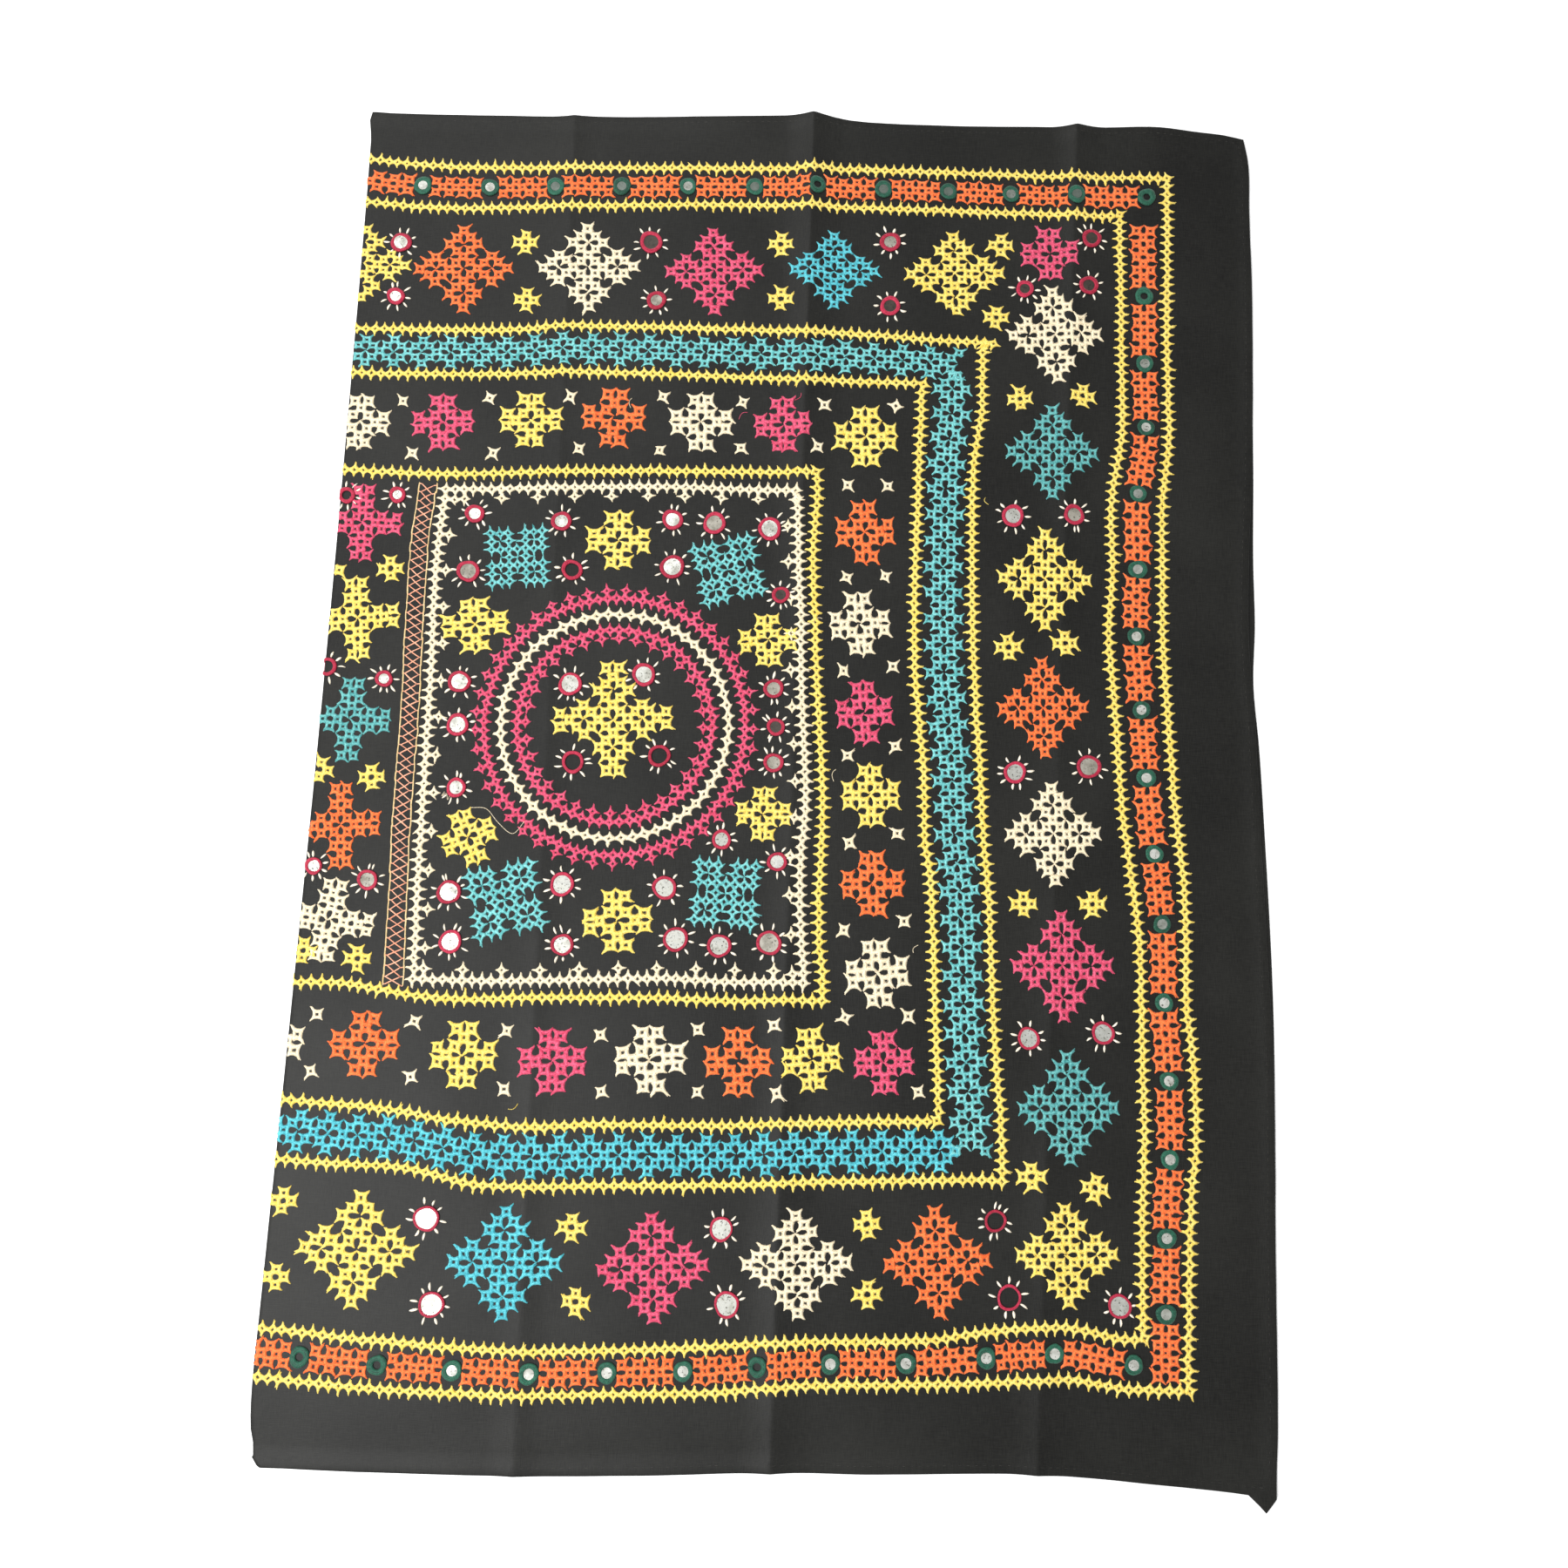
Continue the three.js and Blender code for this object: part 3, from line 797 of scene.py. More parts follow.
NEAR_CROSSES = [
    ("cream", -553, -333, -8, 0.94, 1.12), ("orange", -453, -337, 0, 1.05, 1.03),
    ("yellow", -345, -345, 1, 1.03, 1.03), ("pink", -247, -349, 2, 1.05, 1),
    ("cream", -141, -344, 4, 1.1, 1.08), ("orange", -45, -344, 2, 1.03, 1.05),
    ("yellow", 35, -339, 6, 0.91, 0.98),
]
FOLD_CROSSES = [
    ("pink", -502, 254, 1), ("yellow", -499, 140, 6, 1.05, 1.05), ("teal", -497, 22, 0, 1, 1.06),
    ("orange", -498, -98, 4, 0.95, 1.04), ("cream", -503, -204, -6, 1.1, 1),
]
SQUARE_CROSSES = [
    ("yellow", -204, 243, 1, 1.11, 1.03), ("yellow", -184, -195, 4, 1.16, 1.04),
    ("yellow", -364, 137, 7, 1.15, 0.96), ("yellow", -27, 129, 4, 1, 0.91),
    ("yellow", -355, -107, 23, 0.94, 0.96), ("yellow", -26, -71, 0, 0.93, 0.92),
]
BIG_CROSSES = [("yellow", -200, 32, 3)]
NOTCHED_SQUARES = [("pink", 297, 618, 2, 1, 1.1)]
BLUE_SQUARES = [
    ("aqua", -320, 219, 50, 0.95, 0.95), ("aqua", -76, 211, 60), ("aqua", -310, -176, 59, 1.06, 1.06),
    ("aqua", -66, -161, 42),
]

# Small motifs of one colour each. A row is the middle's place and its turn
SMALL_CROSSES = [
    (-334, 611, 0), (-328, 537, 0), (-27, 619, 0), (-25, 549, 0), (238, 627, 0), (233, 534, -3),
    (262, 432, 5), (336, 438, -3), (249, 130, 4), (314, 136, 5), (267, -163, 0), (344, -161, 0),
    (276, -456, 4), (345, -466, -7), (-527, -503, -2), (-528, -581, 0), (-217, -522, 0), (-209, -598, -2),
    (99, -510, 6), (101, -582, 2), (-465, 200, 5), (-532, 196, 0), (-468, -43, 4), (-526, -36, -7),
    (-468, -245, 2), (-528, -238, -5),
]
STARS = [
    (-466, 405, -3), (-450, 341, -11), (-364, 412, -13), (-356, 344, -5), (-269, 416, -10), (-256, 353, -8),
    (-160, 420, -12), (-161, 354, -4), (-66, 416, -12), (-66, 360, 0), (31, 416, 0), (24, 364, -11),
    (115, 418, 36), (60, 318, -4), (107, 319, 2), (61, 206, -19), (106, 209, -9), (61, 96, 0), (116, 103, 0),
    (67, -2, 4), (121, 10, 11), (71, -101, 11), (125, -89, 0), (67, -198, -9), (134, -187, 4),
    (71, -294, -26), (140, -290, 4), (-507, -306, 6), (-509, -367, 19), (-400, -310, -12), (-400, -370, 14),
    (-299, -318, -5), (-298, -380, 5), (-197, -320, 8), (-193, -380, 12), (-90, -311, 1), (-88, -378, 4),
    (-7, -304, 12), (-2, -377, 21), (152, -371, 7),
]

# The circle's middle and its chains: radius, number of cells, reach across, and the teeth's place and reach
CIRCLE = (-198, 25)
RoundChain = namedtuple("RoundChain", "radius cells reach tooth_out tooth_reach")
OUTER_ROUND = RoundChain(148, 90, 8.4, -9.5, 8.4)
INNER_ROUND = RoundChain(110.5, 64, 8.4, 9.5, 8.8)
CREAM_ROUND = RoundChain(129, 60, 8.6, 0, 0)
ROUND_PARTS = 240

# Each group of motifs: its rows, chart and unit across and along
MOTIF_GROUPS = [
    (FAR_DIAMONDS, DIAMOND, (8.3, 7.9)),
    (SIDE_DIAMONDS, DIAMOND, (7.9, 8.6)),
    (NEAR_DIAMONDS, DIAMOND, (8.6, 8.4)),
    (FAR_CROSSES, SQUARE_CROSS, (9.2, 8.9)),
    (SIDE_CROSSES, SQUARE_CROSS, (8.8, 9.4)),
    (NEAR_CROSSES, SQUARE_CROSS, (8.8, 8.6)),
    (FOLD_CROSSES, LONG_CROSS, (7.6, 7.6)),
    (SQUARE_CROSSES, SQUARE_CROSS, (8.3, 8.3)),
    (BLUE_SQUARES, DIAMOND, (7.2, 7.2)),
    (BIG_CROSSES, BIG_CROSS, (8.3, 8.2)),
    (NOTCHED_SQUARES, SQUARE_CROSS, (8.4, 7.6)),
    ([("yellow", *spot) for spot in SMALL_CROSSES], SMALL_CROSS, (8.2, 7.9)),
    ([("cream", *spot) for spot in STARS], STAR, (7.3, 7.4)),
]


# The interlaced stitches' threads, and how dark the painted shade in the slot between their turns shows
SLOT_SHADE = 0.9
STITCH_THREADS = ("yellow", "orange", "pink", "turquoise", "teal", "aqua", "cream")


def motif_cells():
    """Every motif's cells, by thread colour."""
    found = {colour: [] for colour in STITCH_THREADS}
    for rows, chart, unit in MOTIF_GROUPS:
        for row in rows:
            spot = Motif(*row)
            size = (unit[0] * spot.wide, unit[1] * spot.long)
            found[spot.colour] += motif(chart, spot.across, spot.along, size, spot.turn)
    return found


def round_chain(spec):
    """The cells of one of the circle's chains, with teeth on every other one where it has them."""
    turn = np.linspace(0, 2 * math.pi, ROUND_PARTS + 1)
    across = CIRCLE[0] + spec.radius * np.cos(turn)
    along = CIRCLE[1] + spec.radius * np.sin(turn)
    run = Run(np.stack([across, along], -1))
    cells = chain([run], run.long / spec.cells, spec.reach, closed=True)
    return with_teeth(cells, 2, 0, spec.tooth_out, spec.tooth_reach) if spec.tooth_out else cells


def cream_square():
    """The toothed cream chain round the square's field."""
    c = CREAM_CORNERS
    runs = [
        band_run(CREAM_FAR, c["far_left"][0], c["far_right"][0]),
        band_run(CREAM_RIGHT, c["far_right"][1], c["near_right"][1], lengthwise=True),
        band_run(CREAM_NEAR, c["near_right"][0], c["near_left"][0]),
        band_run(CREAM_LEFT, c["near_left"][1], c["far_left"][1], lengthwise=True),
    ]
    cells = chain(runs, CREAM_PITCH, CREAM_REACH, closed=True)
    return with_teeth(cells, 4, 2, -CREAM_TOOTH_OUT, CREAM_TOOTH_REACH)


# Red-ringed mirrors with no glass of their own, and the rings that the fold cuts
Bare = namedtuple("Bare", "across along radius")
BARE_RINGS = [
    Bare(-256, 205, 9), Bare(-243, -19, 10), Bare(-146, -9, 10), Bare(237, -503, 10),
    Bare(252, -581, 11.5), Bare(-522, 286, 6.5), Bare(-528, 82, 8),
]
RING_IN = 1.5
RING_OUT = 3.0
RING_WIDER = 1.2 / 600
RING_HIGH = 2.1
RAY_LONG = 7.6
RAY_WIDE = 3.3
RAY_HIGH = 1.5
RAY_TAPER = 0.75
RAY_PAST_FOLD = 2
RAYS_ROUND = (9, 9, 10)
RAY_TURNS = 0.1
RAY_LEANS = 0.12
RAY_STARTS = 0.5
RAY_LENGTHS = 1.0
RAY_WIDTHS = 0.1
RAY_BOWS = 0.4
RAY_TWIST = 4.0
RING_PARTS = 36
RING_SECTION = 6
RING_BURY = 0.15
RING_TWIST = 24.0
RING_THREADS = 2
RING_UNDERSIDE = -0.01
RING_RIBS = 18
RIB_SHARE = 0.12
MIDDLE_WOBBLE = 0.6
WIDTH_WOBBLE = 1.6

# How uneven a ring is: waves round it, and each one's share of its radius
RING_WAVES = ((2, 0.05), (3, 0.035), (5, 0.018), (9, 0.008))


def mirror_nodes():
    """Names of the frame's mirrors, in order."""
    return sorted(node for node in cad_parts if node.startswith("mirror_"))


def mirror_spots():
    """Place and radius of each mirror in the frame, in millimetres."""
    spots = []
    for node in mirror_nodes():
        low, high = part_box(node)
        across, along = ((low[k] + high[k]) / 2 / MM for k in (0, 1))
        spots.append((across, along, (high[0] - low[0]) / 2 / MM))
    return spots


def ring_reach(along, radius):
    """Outer radius of a mirror's red ring. The rings toward the far hem are worked a little wider."""
    return radius + RING_OUT + RING_WIDER * along


def torus_template(around, section):
    """A ring of radius 1 round Z with a thin section, as angles round it and about its section."""
    bm = bmesh.new()
    tube = 0.25
    bmesh.ops.create_circle(bm, segments=section, radius=tube, cap_ends=False)
    bmesh.ops.rotate(bm, verts=bm.verts, cent=(0, 0, 0), matrix=Matrix.Rotation(math.pi / 2, 3, "X"))
    bmesh.ops.translate(bm, verts=bm.verts, vec=(1, 0, 0))
    bmesh.ops.spin(
        bm,
        geom=bm.verts[:] + bm.edges[:],
        cent=(0, 0, 0),
        axis=(0, 0, 1),
        angle=2 * math.pi,
        steps=around,
        use_merge=True,
    )
    bmesh.ops.recalc_face_normals(bm, faces=bm.faces)
    points, faces = template(bm)
    turn = np.arctan2(points[:, 1], points[:, 0])
    out = (np.hypot(points[:, 0], points[:, 1]) - 1) / tube
    return turn, out, points[:, 2] / tube, faces


def ring_mesh(name, rows, seed):
    """Rings of close stitches. A row is a place, an inner radius, an outer one, a height and a tint."""
    rng = np.random.default_rng(seed)
    rows = np.array(rows, float)
    turn, out, rise, faces = torus_template(RING_PARTS, RING_SECTION)
    across, along, inner, outer, high, tint = (rows[:, k, None] for k in range(6))
    wobble = np.zeros((len(rows), len(turn)))
    for waves, share in RING_WAVES:
        phase = rng.uniform(0, 2 * math.pi, (len(rows), 1))
        wobble += share * np.sin(waves * turn + phase)
    rib = 1 + RIB_SHARE * np.cos(RING_RIBS * turn + rng.uniform(0, 6, (len(rows), 1)))
    middle = (inner + outer) / 2 * (1 + MIDDLE_WOBBLE * wobble)
    half = (outer - inner) / 2 * (1 + WIDTH_WOBBLE * wobble)
    radius = middle + half * out
    up = high / 2 * (1 + rise * rib) - RING_BURY
    points = on_cloth(across + radius * np.cos(turn), along + radius * np.sin(turn), up)
    face = np.where(rise < RING_UNDERSIDE, -1, 1)
    uv = np.stack([turn / (2 * math.pi) + 0.5, (out * face + 1) / 2], -1)
    return joined_mesh(name, points, faces, uv, {"tint": tint})


def ray_rows(spots, seed):
    """Cream stitches that stand out round each red ring."""
    rng = np.random.default_rng(seed)
    rows = []
    for across, along, radius in spots:
        count = int(rng.choice(RAYS_ROUND))
        start = rng.uniform(0, 2 * math.pi)
        for k in range(count):
            turn = start + 2 * math.pi * k / count + rng.normal(0, RAY_TURNS)
            lean = turn + rng.normal(0, RAY_LEANS)
            first = ring_reach(along, radius) + rng.normal(0, RAY_STARTS)
            long = RAY_LONG + rng.normal(0, RAY_LENGTHS)
            a = (across + first * math.cos(turn), along + first * math.sin(turn))
            b = (a[0] + long * math.cos(lean), a[1] + long * math.sin(lean))
            wide = RAY_WIDE * rng.normal(1, RAY_WIDTHS)
            if min(a[0], b[0]) > float(fold_at(along)) - RAY_PAST_FOLD:
                bow, tint = rng.normal(0, RAY_BOWS), rng.uniform(0.3, 0.8)
                rows.append((*a, *b, wide, RAY_HIGH, bow, tint, RAY_TAPER))
    return rows


# The herringbone strip between the square and the fold. A row is a place along, its left side and right
LADDER = [
    (304, -439, -419), (276, -441, -421), (234, -444, -424), (122, -443, -423), (49, -441, -421),
    (-94, -441, -421), (-164, -439, -419), (-272, -438, -416),
]
LADDER_PITCH = 10.2
LADDER_LEAN = 1.5
LADDER_NUB = 2.6
LADDER_LEAST_NUB = 0.8
LADDER_NUB_DROP = 0.4
LADDER_NUB_HIGH = 1.0
LADDER_LINE_WIDE = 2.1
LADDER_LINE_HIGH = 1.1
LADDER_LINE_GAP = 1.2
LADDER_LINE_TAPER = 0.15
LADDER_CROSS_WIDE = 1.8
LADDER_OVER_HIGH = 1.3
LADDER_UNDER_HIGH = 1.0
LADDER_CROSS_TAPER = 0.1
LADDER_SEED = 31

# How uneven the strip's stitches are: one deviation of each size
LADDER_SHIFTS = 0.5
LADDER_NUBS = 0.9
LADDER_WIDTHS = 0.08
LADDER_CROSS_BOWS = 0.3
LADDER_LINE_BOWS = 0.25
LADDER_LINE_SHIFTS = 0.25


def ladder_rows():
    """The strip's two side lines and its crossing stitches."""
    rng = np.random.default_rng(LADDER_SEED)
    left = through([(at, a) for at, a, b in LADDER])
    right = through([(at, b) for at, a, b in LADDER])
    far, near = LADDER[0][0], LADDER[-1][0]
    lines = []
    crosses = []
    places = np.linspace(far, near, round((far - near) / LADDER_PITCH) + 1)
    nubs = []
    for place in places:
        pair = []
        for edge, inward, drop in ((left, 1, 0), (right, -1, LADDER_LEAN)):
            along = place - drop + rng.normal(0, LADDER_SHIFTS)
            reach = inward * max(LADDER_LEAST_NUB, LADDER_NUB + rng.normal(0, LADDER_NUBS))
            root = (float(edge(along)), along)
            tip = (root[0] + reach, along - LADDER_NUB_DROP)
            tint = rng.uniform(0.5, 1)
            crosses.append((*root, *tip, LADDER_CROSS_WIDE, LADDER_NUB_HIGH, 0, tint, 0))
            pair.append(tip)
        nubs.append(pair)
    for (left_tip, right_tip), (next_left, next_right) in zip(nubs, nubs[1:]):
        for start, end, high in (
            (left_tip, next_right, LADDER_OVER_HIGH),
            (right_tip, next_left, LADDER_UNDER_HIGH),
        ):
            wide = LADDER_CROSS_WIDE * rng.normal(1, LADDER_WIDTHS)
            bow, tint = rng.normal(0, LADDER_CROSS_BOWS), rng.uniform(0, 0.9)
            crosses.append((*start, *end, wide, high, bow, tint, LADDER_CROSS_TAPER))
    for a, b in zip(places, places[1:]):
        for edge in (left, right):
            wide = LADDER_LINE_WIDE * rng.normal(1, LADDER_WIDTHS)
            start = (float(edge(a)) + rng.normal(0, LADDER_LINE_SHIFTS), a + LADDER_LINE_GAP)
            end = (float(edge(b)) + rng.normal(0, LADDER_LINE_SHIFTS), b - LADDER_LINE_GAP)
            bow, tint = rng.normal(0, LADDER_LINE_BOWS), rng.uniform(0.2, 0.8)
            lines.append((*start, *end, wide, LADDER_LINE_HIGH, bow, tint, LADDER_LINE_TAPER))
    return lines, crosses


# Hem stitches
HEM_STITCH = 4.2
HEM_STITCH_PITCH = 8.5
HEM_STITCH_IN = 8.2
HEM_STITCH_WIDE = 0.8
HEM_STITCH_HIGH = 0.55 + HEM_RISE
HEM_STITCH_TAPER = 0.4
HEM_STITCH_SHIFTS = 0.4
HEM_STITCH_LENGTHS = 0.12
HEM_PARTS = 600
HEM_SEED = 41


def hem_rows():
    """Running stitches along the upper layer's three hems."""
    rng = np.random.default_rng(HEM_SEED)
    over = np.linspace(0, 1, HEM_PARTS)
    upper = side_edge(UPPER_EDGE)(over)
    runs = [Run(np.stack([upper[:, 0] - HEM_STITCH_IN, upper[:, 1]], -1))]
    for hem, curve, inward in ((NEAR_HEM, near_hem_at, 1), (FAR_HEM, far_hem_at, -1)):
        across = mix(hem[0][0], hem[-1][0], over)
        runs.append(Run(np.stack([across, curve(across) + inward * HEM_STITCH_IN], -1)))
    rows = []
    for run in runs:
        for k in range(1, int(run.long / HEM_STITCH_PITCH)):
            place, way = run.at(k * HEM_STITCH_PITCH + rng.normal(0, HEM_STITCH_SHIFTS))
            half = way * HEM_STITCH / 2 * rng.normal(1, HEM_STITCH_LENGTHS)
            form = (HEM_STITCH_WIDE, HEM_STITCH_HIGH, 0, rng.uniform(0, 1), HEM_STITCH_TAPER)
            rows.append((*(place - half), *(place + half), *form))
    return rows


# Loose thread ends. A row is a place, the way that it points in degrees, its length, bend and colour
LOOSE_ENDS = [
    (52, -32, 70, 14, 5, "cream"), (150, -212, 250, 10, -4, "cream"), (24, 150, 20, 12, 5, "cream"),
    (-282, -395, 200, 12, 4, "yellow"), (-198, 405, 75, 12, 4, "cream"),
    (-5, 420, 60, 11, -4, "pink"), (-318, -352, 80, 9, 6, "yellow"), (268, 440, 140, 9, 3, "yellow"),
    (-70, 395, 30, 13, 5, "pink"), (-22, 372, 200, 10, 4, "pink"), (225, 300, 100, 9, 4, "yellow"),
]
LOOSE_WIDE = 1.0
LOOSE_HIGH = 0.9
LOOSE_CURL = 2.6
LOOSE_PARTS = 5

# The long cream end between a yellow cross and the circle, and a curl of it beside a mirror
LONG_ENDS = [
    [(-354, -74), (-337, -75), (-323, -90), (-306, -102), (-293, -87)],
    [(-385, -57), (-388, -62), (-383, -59), (-381, -66), (-379, -60)],
]
LONG_END_PARTS = 20


def loose_rows():
    """Strands of the loose ends, by thread colour."""
    found = {}
    for ends in LONG_ENDS:
        steps = np.linspace(0, len(ends) - 1, LONG_END_PARTS + 1)
        course = [through([(k, end[axis]) for k, end in enumerate(ends)])(steps) for axis in (0, 1)]
        points = np.stack(course, -1)
        for a, b in zip(points, points[1:]):
            found.setdefault("cream", []).append((*a, *b, LOOSE_WIDE, LOOSE_HIGH, 0, 0.9, 0))
    for across, along, turn, long, bend, colour in LOOSE_ENDS:
        way = np.array([math.cos(math.radians(turn)), math.sin(math.radians(turn))])
        normal = np.array([-way[1], way[0]])
        share = np.linspace(0, 1, LOOSE_PARTS + 1)[:, None]
        points = np.array([across, along]) + way * long * share + normal * bend * np.sin(LOOSE_CURL * share)
        for a, b in zip(points, points[1:]):
            found.setdefault(colour, []).append((*a, *b, LOOSE_WIDE, LOOSE_HIGH, 0, 0.5, 0))
    return found


# Materials


# Thread: how dark the painted shade in its gaps is, where its open slot lies across it and how far its twist
# leans
DEEP_SHADE = 0.22
SLOT_PLACE = 0.2
TWIST_LEAN = 2.2

# Light tones of the threads that have no such colour on the panel
RAY_LIGHT = "fdf4e4"
STRIP_LINE_LIGHT = "f4dfac"
STRIP_CROSS_LIGHT = "fcc6a6"
BLACK_LIGHT = "46443f"

# Cloth: noise scales along a yarn and across it, and the tones of its dark and light yarns
ALONG_YARN = 90.0
ACROSS_YARN = 1500.0
DARK_YARN = 0.5
LIGHT_YARN = 1.6


def linear(code):
    """A hexadecimal colour as linear red, green and blue."""
    parts = [int(code[k : k + 2], 16) / 255 for k in (0, 2, 4)]
    return tuple(p / 12.92 if p <= 0.04045 else ((p + 0.055) / 1.055) ** 2.4 for p in parts)


class Finish:
    """A material under construction: its nodes are added and linked through short methods."""

    def __init__(self, name):
        self.material = bpy.data.materials.new(name)
        self.material.use_nodes = True
        self.nodes = self.material.node_tree.nodes
        self.links = self.material.node_tree.links
        self.shader = self.nodes["Principled BSDF"]

    def add(self, kind, inputs=(), **settings):
        """Adds a node of a kind, with its inputs by number or name and its own settings."""
        node = self.nodes.new("ShaderNode" + kind)
        for key, value in settings.items():
            setattr(node, key, value)
        for key, value in dict(inputs).items():
            self.put(node.inputs[key], value)
        return node

    def put(self, socket, value):
        """Links a node's output to a socket, or sets a constant on it."""
        if isinstance(value, bpy.types.NodeSocket):
            self.links.new(value, socket)
        elif isinstance(value, tuple) and len(value) == 3 and socket.type == "RGBA":
            socket.default_value = (*value, 1)
        else:
            socket.default_value = value

    def set(self, **inputs):
        """Sets inputs of the shader by their names, with _ for a space."""
        for key, value in inputs.items():
            self.put(self.shader.inputs[key.replace("_", " ")], value)

    def math(self, operation, a, b=0.0):
        return self.add("Math", {0: a, 1: b}, operation=operation).outputs[0]

    def plus(self, a, b):
        return self.math("ADD", a, b)

    def times(self, a, b):
        return self.math("MULTIPLY", a, b)

    def away(self, value, middle):
        return self.math("ABSOLUTE", self.math("SUBTRACT", value, middle))

    def ranged(self, value, low, high, to_low=0.0, to_high=1.0):
        inputs = {0: value, 1: low, 2: high, 3: to_low, 4: to_high}
        return self.add("MapRange", inputs).outputs[0]

    def blend(self, share, a, b, kind="MIX"):
        return self.add("Mix", {0: share, 6: a, 7: b}, data_type="RGBA", blend_type=kind).outputs[2]

    def noise(self, place, scale, detail=2.0, roughness=0.5):
        inputs = {"Vector": place, "Scale": scale, "Detail": detail, "Roughness": roughness}
        return self.add("TexNoise", inputs).outputs[0]

    def bump(self, height, strength, distance):
        inputs = {"Height": height, "Strength": strength, "Distance": distance}
        self.put(self.shader.inputs["Normal"], self.add("Bump", inputs).outputs[0])


def thread_finish(name, main, second, twist=7.0, threads=3, slot_share=0.0):
    """Soft cotton thread: a few threads side by side, with painted shade in the gaps between them, along the
    strand's edges and in an open slot, a twist and a change of tone.
    """
    finish = Finish(name)
    place = finish.add("TexCoord").outputs["Object"]
    tint = finish.add("Attribute", attribute_name="tint").outputs["Fac"]
    strand = finish.add("SeparateXYZ", {0: finish.add("UVMap", uv_map="strand").outputs[0]})
    along, over = strand.outputs[0], strand.outputs[1]
    off_middle = finish.away(over, 0.5)
    wander = finish.ranged(finish.noise(place, 260), 0.3, 0.7, -0.05, 0.05)
    turns_over = finish.times(finish.plus(over, wander), threads * math.pi)
    round_thread = finish.math("ABSOLUTE", finish.math("SINE", turns_over))
    # Painted shade: dark lines in the gaps between the threads side by side, broken up by noise
    between = finish.ranged(round_thread, 0.0, 0.42)
    open_gap = finish.ranged(finish.noise(place, 430, 1.0), 0.42, 0.6, 0.25, 1.0)
    thread = finish.math("MAXIMUM", between, open_gap)
    # Painted shade towards both edges of the strand
    edge = finish.ranged(off_middle, 0.36, 0.5, 1.0, 0.5)
    off_half = finish.away(along, 0.5)
    # Painted shade in an open slot near the middle of some strands, a fifth of the way across
    off_slot = finish.away(over, SLOT_PLACE)
    slot_end = finish.ranged(off_half, 0.06, 0.11, 1.0, 0.0)
    slot_side = finish.ranged(off_slot, 0.05, 0.12, 1.0, 0.0)
    slotted = finish.ranged(tint, 0.5, 0.56, 0.0, slot_share)
    slot = finish.times(finish.times(slot_end, slot_side), slotted)
    worn = finish.ranged(finish.noise(place, 340), 0.35, 0.65)
    tone = finish.plus(finish.times(worn, 0.5), finish.times(tint, 0.5))
    tone.node.use_clamp = True
    colour = finish.blend(tone, main, second)
    # This mask mixes in a shaded copy of the main colour: painted shade in the gaps, at the edges and in the
    # slot
    shade = finish.times(finish.times(thread, edge), finish.math("SUBTRACT", 1.0, slot))
    shaded_colour = tuple(c * DEEP_SHADE for c in main)
    finish.set(Base_Color=finish.blend(shade, shaded_colour, colour))
    lean = finish.plus(finish.times(along, twist), finish.times(over, TWIST_LEAN))
    turns = finish.math("SINE", finish.times(lean, 2 * math.pi))
    height = finish.plus(finish.times(turns, 0.3), finish.times(round_thread, 1.2))
    finish.bump(height, 0.6, 0.00035)
    finish.set(Roughness=0.6, Sheen_Weight=0.1, Sheen_Roughness=0.5, Specular_IOR_Level=0.3)
    return finish.material


def thread_of(colours, key, name, *form, **more):
    """A thread in one of the panel's colours and its light tone."""
    main, light = (tuple(getattr(colours, part)) for part in (key, key + "_light"))
    return thread_finish(name, main, light, *form, **more)


def cloth_finish(colour):
    """Plain-woven black cotton: fine yarns both ways, with a broad change of tone."""
    finish = Finish("black_cotton")
    place = finish.add("TexCoord").outputs["Object"]
    both = []
    for scale in ((ALONG_YARN, ACROSS_YARN, ACROSS_YARN), (ACROSS_YARN, ALONG_YARN, ACROSS_YARN)):
        stretched = finish.add("Mapping", {"Vector": place, "Scale": scale}).outputs[0]
        both.append(finish.noise(stretched, 1.0, 2.0))
    weave = finish.plus(both[0], both[1])
    broad = finish.noise(place, 5.0, 3.0)
    tone = finish.plus(finish.times(weave, 0.5), finish.times(broad, 0.6))
    share = finish.ranged(tone, 0.6, 1.0)
    dark = tuple(c * DARK_YARN for c in colour)
    light = tuple(c * LIGHT_YARN for c in colour)
    finish.set(Base_Color=finish.blend(share, dark, light))
    finish.bump(weave, 0.25, 0.0004)
    finish.set(Roughness=0.5, Specular_IOR_Level=0.17)
    return finish.material


# Mirrors whose glass is painted dark or grey, a painted reflection of the darker things they face
DARK_GLASS = ("far_3", "far_6", "far_7", "far_8", "far_9", "square_8", "square_15")
GREY_GLASS = (
    "far_4", "far_5", "fold_side_3", "open_side_2", "open_side_4",
    "square_4", "square_6", "square_14", "square_16", "square_26",
)
SILVER_CODES = ("e6e7e4", "b4b4ad", "6b6962")
# Colour that the small mirrors' glass is mixed toward where its painted reflection is dark
SHADED_GLASS = "3c4a42"
GlassTone = namedtuple("GlassTone", "shade metal smooth rough")
GLASS_TONES = {
    "bright": GlassTone("dcdcd8", 0.6, 0.22, 0.5),
    "grey": GlassTone("aaa59b", 0.25, 0.5, 0.65),
    "dark": GlassTone("40372f", 0.2, 0.55, 0.7),
    "small": GlassTone("dcdcd8", 0.3, 0.4, 0.6),
}


def glass_tone(node):
    """How bright a mirror's glass is painted, by its node's name: grey and dark are painted reflection."""
    spot = node.removeprefix("mirror_")
    return "dark" if spot in DARK_GLASS else "grey" if spot in GREY_GLASS else "bright"


